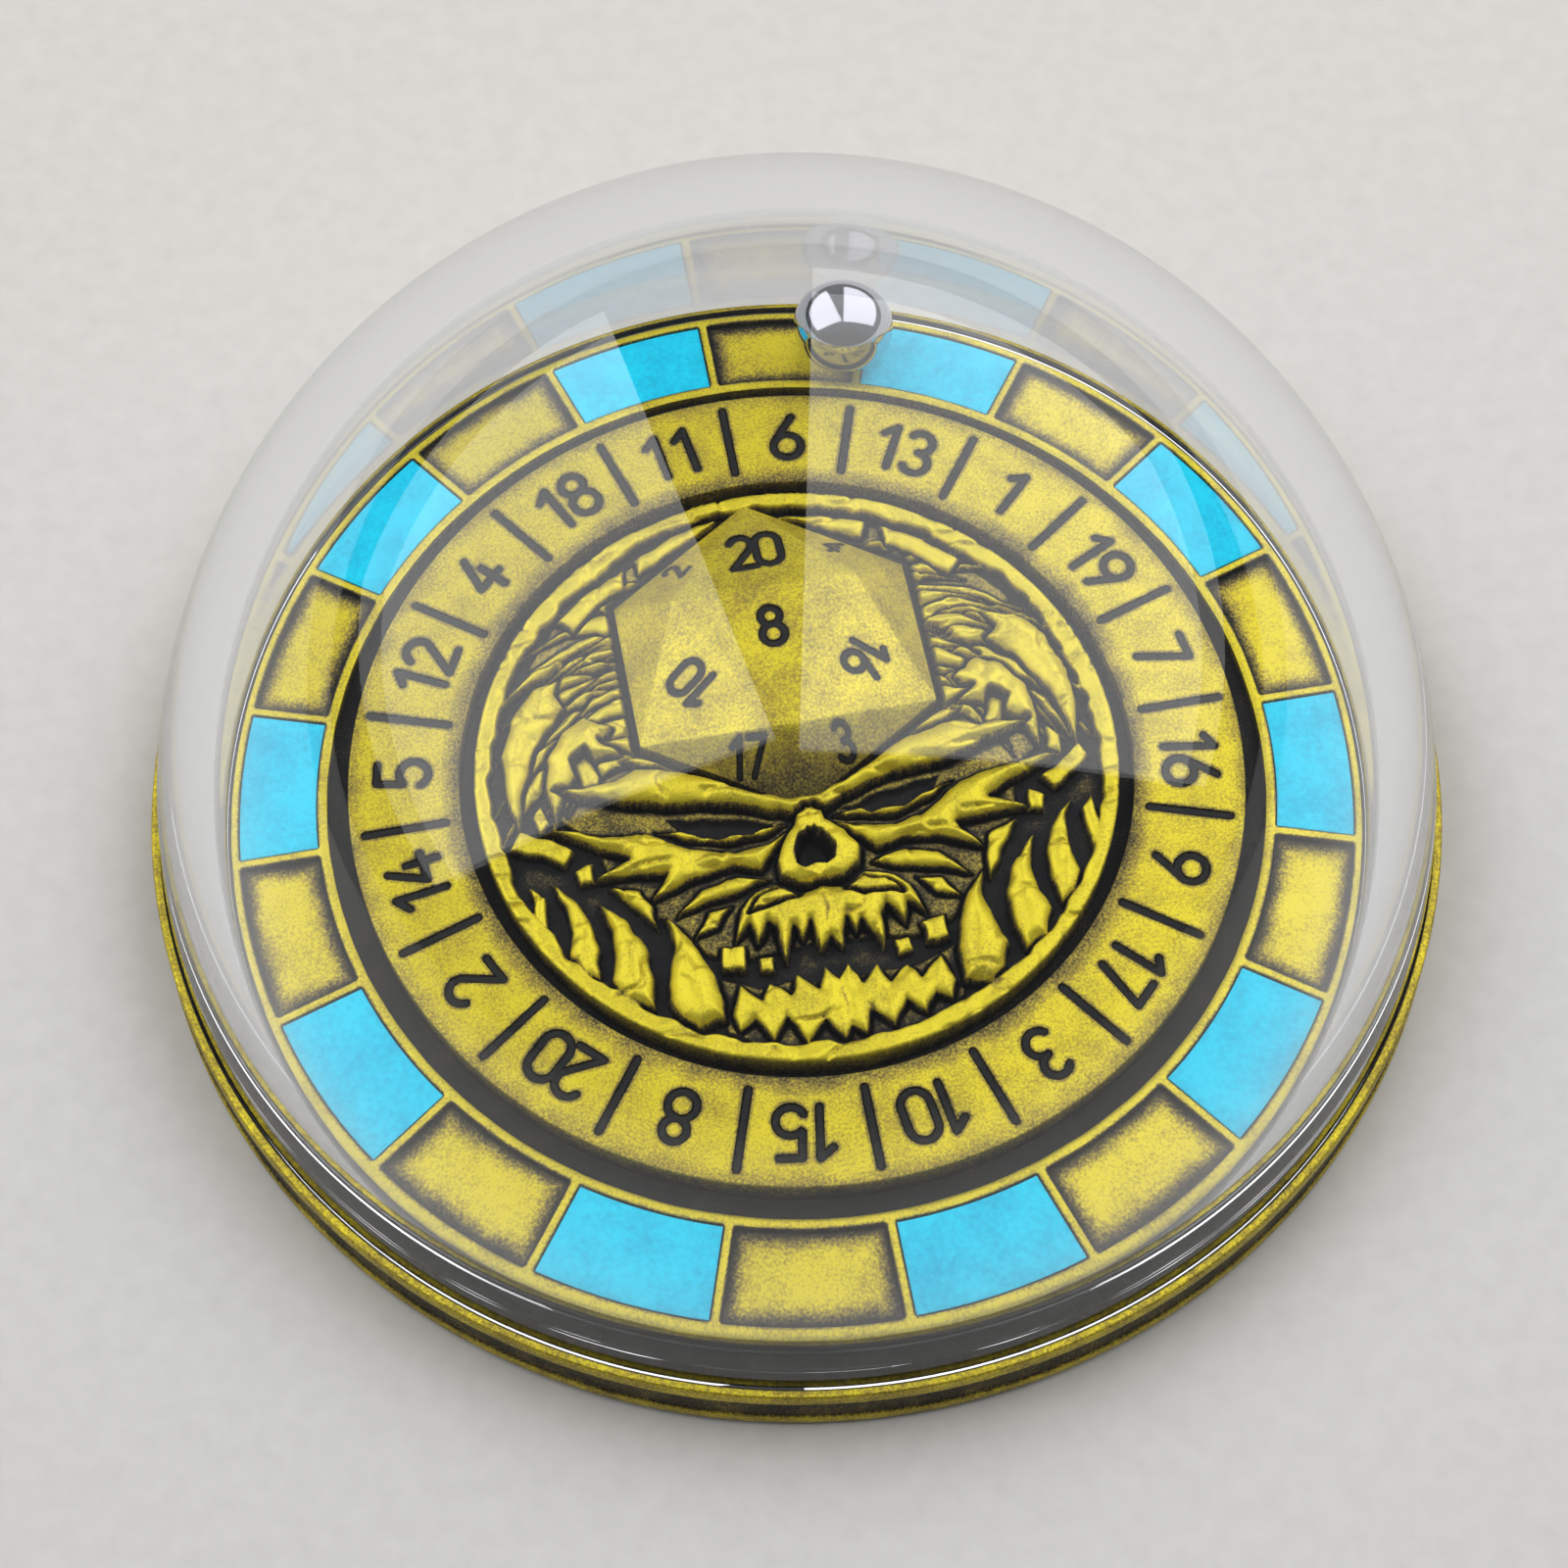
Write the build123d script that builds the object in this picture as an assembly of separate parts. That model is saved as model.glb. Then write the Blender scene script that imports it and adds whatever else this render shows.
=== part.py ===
from build123d import *
import math
import os

# Dealer button: a clear half-dome sealed over a small antique brass wheel, with one loose steel ball.
# Millimetres. The origin is the centre of the underside, +Z is up, and +Y points to the medallion's top.
# Angles along the wheel are clockwise from +Y, seen from above.

# Dome
DOME_R = 38.0
DOME_WALL = 3.3
DOME_FOOT_CHAMFER = 0.25

# Base casting: a flange under the dome's foot and a boss that carries the pocket ring
BASE_R = 38.6
BASE_UNDERSIDE_Z = 0.3
BASE_CHAMFER = 0.5
LIP_INNER_R = 38.1
LIP_TOP_Z = 4.55
LIP_CHAMFER = 0.15
SEAT_Z = 4.0
SEAL_THICKNESS = 0.15
SEAL_MARGIN = 0.25

# Pocket ring, the lowest and outermost step of the wheel
POCKET_COUNT = 20
POCKET_OUTER_R = 34.25
POCKET_INNER_R = 28.0
POCKET_RIM = 0.62
POCKET_TOP_Z = 6.45
POCKET_DEPTH = 0.42
RIB_WIDTH = 0.58
ENAMEL_THICKNESS = 0.34

# Number ring, the middle step, lying on the boss's floor
FLOOR_Z = 5.6
NUMBER_OUTER_R = 26.6
NUMBER_INNER_R = 20.0
NUMBER_TOP_Z = 7.5
NUMBER_EDGE_CHAMFER = 0.25
DIGIT_HEIGHT = 3.05
DIGIT_STROKE = 0.4
DIGIT_RADIUS = 23.35
DIGIT_PITCH = 0.62
DIVIDER_WIDTH = 0.42
DIVIDER_INNER_R = 20.75
DIVIDER_OUTER_R = 25.95
ENGRAVING_DEPTH = 0.34
INFILL_THICKNESS = 0.26
NUMBERS = [6, 13, 1, 19, 7, 16, 9, 17, 3, 10, 15, 8, 20, 2, 14, 5, 12, 4, 18, 11]

# Medallion, the raised middle, with a horned mask and a flattened twenty-sided die as its crest
MEDALLION_R = 19.1
MEDALLION_FIELD_Z = 6.75
MEDALLION_RIM_Z = 7.75
MEDALLION_RIM = 1.15
RELIEF_ROOT = 0.2
CREST_CENTRE_Y = 7.7
CREST_R = 10.3
CREST_TOP_Z = 10.3
CREST_NEAR_DROP = 2.1
CREST_FAR_DROP = 3.3
CREST_DIGIT_STROKE = 0.14
CREST_ENGRAVING_DEPTH = 0.3
CREST_INFILL = 0.22

# Ball
BALL_R = 3.175
BALL_ORBIT_R = 30.9
BALL_ANGLE = 16.0
BALL_CLEARANCE = 0.03

# Pad under the base
PAD_R = 35.9
PAD_THICKNESS = 0.8
PAD_CLEARANCE = 0.1

FILL_GAP = 0.02
POCKET_STEP = 360.0 / POCKET_COUNT
DOME_Z = SEAT_Z + SEAL_THICKNESS
CREST_INNER_RATIO = (math.sqrt(5.0) - 1.0) / 2.0


def tube(outer_r, inner_r, low_z, high_z):
    return Pos(0, 0, low_z) * extrude(Circle(outer_r) - Circle(inner_r), amount=high_z - low_z)


def disc(radius, low_z, high_z):
    return Pos(0, 0, low_z) * extrude(Circle(radius), amount=high_z - low_z)


def around(angle, radius=0.0, z=0.0):
    # the place at this clockwise angle and radius, its own +Y pointing outwards
    return Pos(0, 0, z) * Rot(0, 0, -angle) * Pos(0, radius, 0)


def polar(angle, radius):
    return (radius * math.cos(math.radians(angle)), radius * math.sin(math.radians(angle)))


# Numerals are drawn one unit high, centred on the origin, as lines and arcs of one stroke width.
# A line is two points, and an arc is its centre, radius, start angle and sweep.
SIX = [((-0.2425, -0.08), (0.09, 0.5)), ((0.0, -0.22), 0.28, 0, 360)]
NUMERALS = {
    "0": [
        ((0, 0.22), 0.28, 0, 180),
        ((0, -0.22), 0.28, 180, 180),
        ((-0.28, 0.22), (-0.28, -0.22)),
        ((0.28, 0.22), (0.28, -0.22)),
    ],
    "1": [((-0.16, 0.3), (0.08, 0.5)), ((0.08, 0.5), (0.08, -0.5))],
    "2": [
        ((0, 0.24), 0.26, -35, 195),
        ((0.213, 0.091), (-0.27, -0.5)),
        ((-0.27, -0.5), (0.28, -0.5)),
    ],
    "3": [((0, 0.26), 0.24, -90, 235), ((0, -0.24), 0.26, -150, 240)],
    "4": [
        ((0.04, 0.5), (-0.28, -0.2)),
        ((-0.28, -0.2), (0.3, -0.2)),
        ((0.12, 0.12), (0.12, -0.5)),
    ],
    "5": [
        ((-0.2, 0.5), (0.22, 0.5)),
        ((-0.2, 0.5), (-0.22, 0.0)),
        ((0, -0.22), 0.28, -150, 285),
    ],
    "6": SIX,
    "7": [((-0.26, 0.5), (0.27, 0.5)), ((0.27, 0.5), (-0.06, -0.5))],
    "8": [((0, 0.27), 0.23, 0, 360), ((0, -0.23), 0.27, 0, 360)],
}


def numeral(digit, height, stroke):
    # one digit as a flat face
    if digit == "9":
        return Rot(0, 0, 180) * numeral("6", height, stroke)
    shape = Sketch()
    for piece in NUMERALS[digit]:
        if len(piece) == 2:
            start, end = [(x * height, y * height) for x, y in piece]
            shape += SlotCenterPoint(
                center=((start[0] + end[0]) / 2, (start[1] + end[1]) / 2), point=end, height=stroke
            )
            continue
        (x, y), radius, start_angle, sweep = piece
        place = Pos(x * height, y * height)
        if sweep == 360:
            shape += place * (Circle(radius * height + stroke / 2) - Circle(radius * height - stroke / 2))
        else:
            arc = CenterArc((x * height, y * height), radius * height, start_angle, sweep)
            shape += SlotArc(arc, stroke)
    return shape


def number(value, height, stroke):
    # a whole number as a list of flat digits, side by side
    digits = str(value)
    shift = DIGIT_PITCH * height / 2 * (len(digits) - 1)
    return [
        Pos(-shift + k * DIGIT_PITCH * height, 0) * numeral(digit, height, stroke)
        for k, digit in enumerate(digits)
    ]


def divider(width, margin):
    length = DIVIDER_OUTER_R - DIVIDER_INNER_R + 2 * margin
    return Rectangle(width, length)


def pocket_slots(low_z, high_z, margin):
    # the twenty spaces between the ribs, drawn in by the margin on every side, in clockwise order
    outer = POCKET_OUTER_R - POCKET_RIM - margin
    inner = POCKET_INNER_R + POCKET_RIM + margin
    band = Circle(outer) - Circle(inner)
    rib = Rectangle(RIB_WIDTH + 2 * margin, 2 * outer)
    for k in range(POCKET_COUNT):
        band -= around(k * POCKET_STEP) * Pos(0, outer) * rib
    slots = [Pos(0, 0, low_z) * extrude(face, amount=high_z - low_z) for face in band.faces()]

    def clockwise(slot):
        middle = slot.center()
        return math.degrees(math.atan2(middle.X, middle.Y)) % 360

    return sorted(slots, key=clockwise)


def make_base_casting():
    pad_recess_r = PAD_R + PAD_CLEARANCE
    outline = Polyline(
        (0, PAD_THICKNESS),
        (pad_recess_r, PAD_THICKNESS),
        (pad_recess_r, BASE_UNDERSIDE_Z),
        (BASE_R - BASE_CHAMFER, BASE_UNDERSIDE_Z),
        (BASE_R, BASE_UNDERSIDE_Z + BASE_CHAMFER),
        (BASE_R, LIP_TOP_Z - LIP_CHAMFER),
        (BASE_R - LIP_CHAMFER, LIP_TOP_Z),
        (LIP_INNER_R, LIP_TOP_Z),
        (LIP_INNER_R, SEAT_Z),
        (POCKET_OUTER_R, SEAT_Z),
        (POCKET_OUTER_R, POCKET_TOP_Z),
        (POCKET_INNER_R, POCKET_TOP_Z),
        (POCKET_INNER_R, FLOOR_Z),
        (0, FLOOR_Z),
        close=True,
    )
    casting = revolve(Plane.XZ * make_face(outline), axis=Axis.Z)
    return casting - pocket_slots(POCKET_TOP_Z - POCKET_DEPTH, POCKET_TOP_Z + 1, 0.0)


def make_enamels():
    # the odd pockets, counted clockwise from +Y, are filled with blue enamel
    low = POCKET_TOP_Z - POCKET_DEPTH
    return pocket_slots(low, low + ENAMEL_THICKNESS, FILL_GAP)[1::2]


def make_number_ring():
    body = tube(NUMBER_OUTER_R, NUMBER_INNER_R, FLOOR_Z, NUMBER_TOP_Z)
    body = chamfer(body.edges().group_by(Axis.Z)[-1], NUMBER_EDGE_CHAMFER)
    floor = NUMBER_TOP_Z - ENGRAVING_DEPTH
    cuts = []
    for k, value in enumerate(NUMBERS):
        place = around((k + 0.5) * POCKET_STEP, DIGIT_RADIUS, floor)
        for face in number(value, DIGIT_HEIGHT, DIGIT_STROKE + 2 * FILL_GAP):
            cuts.append(extrude(place * face, amount=1))
        place = around(k * POCKET_STEP, (DIVIDER_INNER_R + DIVIDER_OUTER_R) / 2, floor)
        cuts.append(extrude(place * divider(DIVIDER_WIDTH + 2 * FILL_GAP, FILL_GAP), amount=1))
    return body - cuts


def make_number_infill(k):
    floor = NUMBER_TOP_Z - ENGRAVING_DEPTH
    place = around((k + 0.5) * POCKET_STEP, DIGIT_RADIUS, floor)
    return [
        extrude(place * face, amount=INFILL_THICKNESS)
        for face in number(NUMBERS[k], DIGIT_HEIGHT, DIGIT_STROKE)
    ]


def make_divider_infill():
    floor = NUMBER_TOP_Z - ENGRAVING_DEPTH
    middle = (DIVIDER_INNER_R + DIVIDER_OUTER_R) / 2
    return [
        extrude(around(k * POCKET_STEP, middle, floor) * divider(DIVIDER_WIDTH, 0.0), amount=INFILL_THICKNESS)
        for k in range(POCKET_COUNT)
    ]


def crest_points():
    # six corners of the outline and three of the middle face, each with its height
    inner = [(*polar(a, CREST_R * CREST_INNER_RATIO), CREST_TOP_Z) for a in (150, 30, 270)]
    outline = []
    for k, angle in enumerate((90, 150, 210, 270, 330, 30)):
        drop = CREST_NEAR_DROP if k % 2 == 0 else CREST_FAR_DROP
        outline.append((*polar(angle, CREST_R), CREST_TOP_Z - drop))
    return inner, outline


def make_crest_block():
    inner, outline = crest_points()
    left, right, low = inner
    top, top_left, bottom_left, bottom, bottom_right, top_right = outline
    triangles = [
        (left, right, low),
        (top, right, left),
        (top, left, top_left),
        (top_left, left, bottom_left),
        (bottom_left, left, low),
        (bottom_left, low, bottom),
        (bottom, low, bottom_right),
        (bottom_right, low, right),
        (bottom_right, right, top_right),
        (top_right, right, top),
    ]
    root_z = MEDALLION_FIELD_Z - RELIEF_ROOT
    root = [(x, y, root_z) for x, y, z in outline]
    faces = [Face(Wire.make_polygon(corners, close=True)) for corners in triangles]
    for k in range(6):
        n = (k + 1) % 6
        faces.append(Face(Wire.make_polygon([outline[k], outline[n], root[n], root[k]], close=True)))
    faces.append(Face(Wire.make_polygon(root, close=True)))
    return Pos(0, CREST_CENTRE_Y, 0) * Solid(Shell(faces))


def crest_numbers(margin):
    # generic figures on the die's faces: value, place on the crest, turn and height
    layout = [
        (20, (0.0, 6.3), 0, 2.6),
        (8, (0.0, 0.4), 0, 2.5),
        (10, (-5.2, -2.3), 125, 2.2),
        (16, (5.2, -2.3), -125, 2.2),
        (2, (-4.9, 6.3), 45, 1.5),
        (4, (4.9, 6.3), -45, 1.5),
        (17, (-2.9, -7.2), -10, 1.8),
        (3, (2.9, -7.2), 10, 1.8),
    ]
    faces = []
    for value, (x, y), turn, height in layout:
        stroke = height * CREST_DIGIT_STROKE + 2 * margin
        place = Pos(x, CREST_CENTRE_Y + y, MEDALLION_FIELD_Z) * Rot(0, 0, turn)
        for face in number(value, height, stroke):
            faces.append(extrude(place * face, amount=CREST_TOP_Z))
    return faces


# Half of the mask, right of its middle line, as raised outlines: corner points and height over the field
MASK_HALF = [
    ([(0.0, -1.4), (1.6, -0.6), (6.2, 0.9), (7.2, 2.4), (3.0, 1.8), (0.0, 0.6)], 1.6),
    ([(6.6, 2.0), (6.0, 0.7), (9.0, -0.6), (13.4, 0.6), (10.2, 1.7)], 1.2),
    ([(0.0, -0.9), (0.9, -2.2), (1.4, -4.2), (1.0, -5.2), (0.0, -5.6)], 1.5),
    ([(0.9, -3.0), (5.6, -2.6), (9.4, -1.8), (12.2, -3.2), (6.4, -4.4), (1.2, -4.5)], 1.1),
    ([(0.3, -5.0), (3.2, -5.3), (4.6, -6.8), (3.4, -7.6), (2.2, -8.6), (0.9, -7.2)], 1.2),
    ([(4.6, -9.6), (6.3, -9.2), (6.2, -11.0), (4.8, -11.2)], 0.9),
    ([(7.2, -8.2), (8.6, -10.6), (9.1, -13.2), (7.3, -14.0), (6.8, -11.4)], 1.3),
    ([(0.0, -12.0), (1.6, -13.2), (3.0, -12.2), (4.6, -13.6), (6.2, -14.9), (0.0, -16.4)], 1.0),
    ([(10.4, -5.4), (12.2, -7.4), (11.4, -10.8), (9.6, -7.4)], 1.0),
    ([(12.9, -2.4), (14.2, -3.6), (14.4, -8.0), (13.0, -9.6), (12.7, -5.4)], 0.8),
    ([(9.6, 3.4), (12.0, 8.4), (14.6, 7.8), (16.6, 3.0), (15.0, -2.0), (13.6, 3.0)], 1.0),
    ([(8.4, 14.2), (10.2, 13.6), (12.8, 11.0), (12.2, 9.4), (10.2, 11.6)], 0.9),
]


def make_medallion_body():
    body = disc(MEDALLION_R, FLOOR_Z, MEDALLION_FIELD_Z)
    root_z = MEDALLION_FIELD_Z - RELIEF_ROOT
    body += tube(MEDALLION_R, MEDALLION_R - MEDALLION_RIM, root_z, MEDALLION_RIM_Z)
    for corners, height in MASK_HALF:
        for side in (1, -1):
            face = make_face(Polyline([(side * x, y) for x, y in corners], close=True))
            body += Pos(0, 0, root_z) * extrude(face, amount=height + RELIEF_ROOT, dir=(0, 0, 1))
    return body + make_crest_block()


def make_medallion():
    return make_medallion_body() - [
        cut & make_crest_skin(CREST_ENGRAVING_DEPTH) for cut in crest_numbers(FILL_GAP)
    ]


def make_crest_skin(depth):
    # the outer layer of the crest, this deep all over
    block = make_crest_block()
    return block - Pos(0, 0, -depth) * block


def make_crest_infill():
    skin = make_crest_skin(CREST_ENGRAVING_DEPTH) - make_crest_skin(CREST_ENGRAVING_DEPTH - CREST_INFILL)
    return [figure & skin for figure in crest_numbers(0.0)]


def make_dome():
    shell = Sphere(DOME_R) - Sphere(DOME_R - DOME_WALL)
    shell &= Pos(0, 0, DOME_R) * Box(3 * DOME_R, 3 * DOME_R, 2 * DOME_R)
    foot = shell.edges().group_by(Axis.Z)[0].sort_by(SortBy.LENGTH)[-1]
    return Pos(0, 0, DOME_Z) * chamfer(foot, DOME_FOOT_CHAMFER)


def make_dome_seal():
    inner_r = DOME_R - DOME_WALL + SEAL_MARGIN
    return tube(DOME_R - DOME_FOOT_CHAMFER - SEAL_MARGIN, inner_r, SEAT_Z, DOME_Z)


def make_ball():
    return around(BALL_ANGLE, BALL_ORBIT_R, POCKET_TOP_Z + BALL_CLEARANCE + BALL_R) * Sphere(BALL_R)


def make_base_pad():
    return disc(PAD_R, 0.0, PAD_THICKNESS)


def write(name, shape):
    if isinstance(shape, (list, ShapeList)):
        shape = Compound(children=[solid for item in shape for solid in item.solids()])
    export_step(shape, "parts/" + name + ".step")
    print(name, round(shape.volume, 2))


os.makedirs("parts", exist_ok=True)
write("base_casting", make_base_casting())
write("number_ring", make_number_ring())
write("medallion", make_medallion())
write("crest_infill", make_crest_infill())
write("dome", make_dome())
write("dome_seal", make_dome_seal())
write("ball", make_ball())
write("base_pad", make_base_pad())
write("divider_infill", make_divider_infill())
for k, enamel in enumerate(make_enamels()):
    write("enamel_%02d" % (k + 1), enamel)
for k in range(POCKET_COUNT):
    write("number_infill_%02d" % (k + 1), make_number_infill(k))
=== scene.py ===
import bpy
import bmesh
import math
import numpy as np
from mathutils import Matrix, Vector
from mathutils.geometry import delaunay_2d_cdt


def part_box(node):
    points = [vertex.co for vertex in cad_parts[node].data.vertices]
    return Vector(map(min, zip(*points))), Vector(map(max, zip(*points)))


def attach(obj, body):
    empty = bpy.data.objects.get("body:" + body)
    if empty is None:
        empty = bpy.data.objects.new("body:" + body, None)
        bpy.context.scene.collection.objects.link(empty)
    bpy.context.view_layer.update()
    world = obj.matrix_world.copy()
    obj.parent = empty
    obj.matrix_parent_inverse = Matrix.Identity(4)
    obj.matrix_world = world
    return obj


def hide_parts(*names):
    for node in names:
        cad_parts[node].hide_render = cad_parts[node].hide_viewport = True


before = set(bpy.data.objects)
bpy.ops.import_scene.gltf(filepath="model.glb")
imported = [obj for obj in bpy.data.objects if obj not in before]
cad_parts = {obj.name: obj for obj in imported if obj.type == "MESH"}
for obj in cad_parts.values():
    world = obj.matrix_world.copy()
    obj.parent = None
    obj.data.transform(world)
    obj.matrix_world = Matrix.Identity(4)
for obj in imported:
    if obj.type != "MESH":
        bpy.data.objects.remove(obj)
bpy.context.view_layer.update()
mm = 0.001


def span(nodeName):
    # outer radius, lowest and highest level of a round CAD node, in mm
    low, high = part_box(nodeName)
    return high.x / mm, low.z / mm, high.z / mm


baseRadius, _, pocketTop = span("base_casting")
ringRadius, floorLevel, ringTop = span("number_ring")
coinRadius, _, crestTop = span("medallion")
domeRadius, domeFoot, domeTop = span("dome")
padRadius, padLow, padTop = span("base_pad")
sealRadius, seatLevel, sealTop = span("dome_seal")
ballLow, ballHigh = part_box("ball")


def meshObject(name, points, faces, material=None):
    # a new object from points in mm; its sharper edges stay crisp
    mesh = bpy.data.meshes.new(name)
    mesh.from_pydata([(x * mm, y * mm, z * mm) for x, y, z in points], [], [list(f) for f in faces])
    mesh.update()
    made = bpy.data.objects.new(name, mesh)
    bpy.context.scene.collection.objects.link(made)
    finishMesh(made)
    if material:
        mesh.materials.append(material)
    return made


def finishMesh(made, smooth=35.0):
    mesh = made.data
    mesh.shade_smooth()
    if smooth < 180:
        mesh.set_sharp_from_angle(angle=math.radians(smooth))


def tidyMesh(made, merge=0.0005, smooth=35.0):
    # closes doubled seams (merge is in mm) and turns every face outwards
    work = bmesh.new()
    work.from_mesh(made.data)
    bmesh.ops.remove_doubles(work, verts=work.verts, dist=merge * mm)
    bmesh.ops.dissolve_degenerate(work, dist=1e-8, edges=work.edges)
    bmesh.ops.recalc_face_normals(work, faces=work.faces)
    work.to_mesh(made.data)
    work.free()
    finishMesh(made, smooth)
    return made


def dropLoose(work):
    # points that no face uses
    bmesh.ops.delete(work, geom=[v for v in work.verts if not v.link_faces], context="VERTS")


def closeBelow(work, level, centreY=0.0):
    # walls from the open edge down to a level, and a floor fanned from its centre; both in metres
    wall = bmesh.ops.extrude_edge_only(work, edges=[e for e in work.edges if e.is_boundary])["geom"]
    for v in [v for v in wall if isinstance(v, bmesh.types.BMVert)]:
        v.co.z = level
    centre = work.verts.new((0, centreY, level))
    for e in [e for e in work.edges if e.is_boundary]:
        work.faces.new((e.verts[1], e.verts[0], centre))


def paintPatina(made, rule):
    # rule takes arrays of x, y, z in mm and gives the patina with any painted shade, 0 bright to 1 black
    mesh = made.data
    co = np.zeros(len(mesh.vertices) * 3)
    mesh.vertices.foreach_get("co", co)
    x, y, z = (co.reshape(-1, 3) / mm).T
    layer = mesh.attributes.get("patinaAndShade") or mesh.attributes.new("patinaAndShade", "FLOAT", "POINT")
    layer.data.foreach_set("value", np.clip(rule(x, y, z), 0, 1).astype(np.float32))


def rounded(profile, radius, steps=5):
    # the closed outline with each corner rounded; a corner may carry its own radius as a third number
    out = []
    count = len(profile)
    for k in range(count):
        p = np.array(profile[k][:2], float)
        r = profile[k][2] if len(profile[k]) > 2 else radius
        a = np.array(profile[k - 1][:2], float) - p
        b = np.array(profile[(k + 1) % count][:2], float) - p
        la, lb = np.linalg.norm(a), np.linalg.norm(b)
        a, b = a / la, b / lb
        half = math.acos(max(-1, min(1, float(a @ b)))) / 2
        if r <= 0 or half > math.radians(88):
            out.append(tuple(p))
            continue
        reach = min(r / math.tan(half), la * 0.49, lb * 0.49)
        for s in np.linspace(0, 1, steps):
            out.append(tuple(p + a * reach * (1 - s) ** 2 + b * reach * s ** 2))
    return out


def lathe(name, outline, steps, material=None, smooth=35.0):
    # turns a closed outline of (radius, height) round the axis; points on the axis become poles
    points, rows = [], []
    for r, z in outline:
        if r < 1e-6:
            rows.append([len(points)] * steps)
            points.append((0, 0, z))
            continue
        rows.append(list(range(len(points), len(points) + steps)))
        for k in range(steps):
            a = 2 * math.pi * k / steps
            points.append((r * math.cos(a), r * math.sin(a), z))
    faces = []
    for k in range(len(rows)):
        one, two = rows[k], rows[(k + 1) % len(rows)]
        for j in range(steps):
            n = (j + 1) % steps
            face = list(dict.fromkeys((one[j], one[n], two[n], two[j])))
            if len(face) > 2:
                faces.append(face)
    return tidyMesh(meshObject(name, points, faces, material), smooth=smooth)


def colour(hexText):
    # an sRGB hex value as linear light
    parts = [int(hexText[k:k + 2], 16) / 255 for k in (1, 3, 5)]
    return (*[c / 12.92 if c <= 0.04045 else ((c + 0.055) / 1.055) ** 2.4 for c in parts], 1.0)


def add(tree, kind, links=None, stops=(), **settings):
    # one node, its settings, a colour ramp's (position, colour) stops, and what feeds its sockets:
    # a value, or another node's output
    made = tree.nodes.new(kind)
    for key, value in settings.items():
        setattr(made, key, value)
    for key, value in (links or {}).items():
        if isinstance(value, bpy.types.NodeSocket):
            tree.links.new(value, made.inputs[key])
        else:
            made.inputs[key].default_value = value
    for k, (position, tone) in enumerate(stops):
        elements = made.color_ramp.elements
        stop = elements[k] if k < len(elements) else elements.new(position)
        stop.position, stop.color = position, tone
    return made


def newMaterial(name):
    material = bpy.data.materials.new(name)
    material.use_nodes = True
    material.node_tree.nodes.clear()
    return material, material.node_tree


def grow(name, buildTree, inputs, material, source):
    # runs a Geometry Nodes tree once on the source and keeps the result as a plain mesh
    tree = bpy.data.node_groups.new(name + "Tree", "GeometryNodeTree")
    tree.is_modifier = True
    tree.interface.new_socket(name="Geometry", in_out="INPUT", socket_type="NodeSocketGeometry")
    kinds = {float: "NodeSocketFloat", int: "NodeSocketInt", bpy.types.Material: "NodeSocketMaterial",
             bpy.types.Collection: "NodeSocketCollection"}
    inputs = {**inputs, "Material": material}
    for label, value in inputs.items():
        tree.interface.new_socket(name=label, in_out="INPUT", socket_type=kinds[type(value)])
    tree.interface.new_socket(name="Geometry", in_out="OUTPUT", socket_type="NodeSocketGeometry")
    start = add(tree, "NodeGroupInput")
    shape = buildTree(tree, start.outputs)
    whole = add(tree, "GeometryNodeRealizeInstances", {"Geometry": shape})
    dressed = add(tree, "GeometryNodeSetMaterial", {
        "Geometry": whole.outputs[0], "Material": start.outputs["Material"]})
    add(tree, "NodeGroupOutput", {"Geometry": dressed.outputs[0]})
    holder = bpy.data.objects.new(name + "Holder", source.data)
    bpy.context.scene.collection.objects.link(holder)
    modifier = holder.modifiers.new("grow", "NODES")
    modifier.node_group = tree
    sockets = {s.name: s.identifier for s in tree.interface.items_tree if s.in_out == "INPUT"}
    for label, value in inputs.items():
        modifier[sockets[label]] = value
    graph = bpy.context.evaluated_depsgraph_get()
    mesh = bpy.data.meshes.new_from_object(holder.evaluated_get(graph))
    holder.modifiers.remove(modifier)
    bpy.data.objects.remove(holder)
    made = bpy.data.objects.new(name, mesh)
    mesh.name = name
    bpy.context.scene.collection.objects.link(made)
    return made


def aroundTheAxis(tree, sockets):
    # the source geometry repeated round the axis: Count copies, Pitch degrees apart, from First degrees
    line = add(tree, "GeometryNodeMeshLine", {"Count": sockets["Count"], "Offset": (0, 0, 0)})
    index = add(tree, "GeometryNodeInputIndex")
    turn = add(tree, "ShaderNodeMath", {0: index.outputs[0], 1: sockets["Pitch"], 2: sockets["First"]},
               operation="MULTIPLY_ADD")
    radians = add(tree, "ShaderNodeMath", {0: turn.outputs[0]}, operation="RADIANS")
    clockwise = add(tree, "ShaderNodeMath", {0: radians.outputs[0], 1: -1.0}, operation="MULTIPLY")
    spin = add(tree, "ShaderNodeCombineXYZ", {"Z": clockwise.outputs[0]})
    return add(tree, "GeometryNodeInstanceOnPoints", {
        "Points": line.outputs[0], "Instance": sockets["Geometry"], "Rotation": spin.outputs[0]}).outputs[0]


print("helpers ready")


brassLook = {
    "bright": "#DAC833", "deep": "#9D8B3A", "tarnish": "#504629", "black": "#070604",
    "grainMm": 0.16, "mottleMm": 2.4, "rough": 0.45,
}


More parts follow.
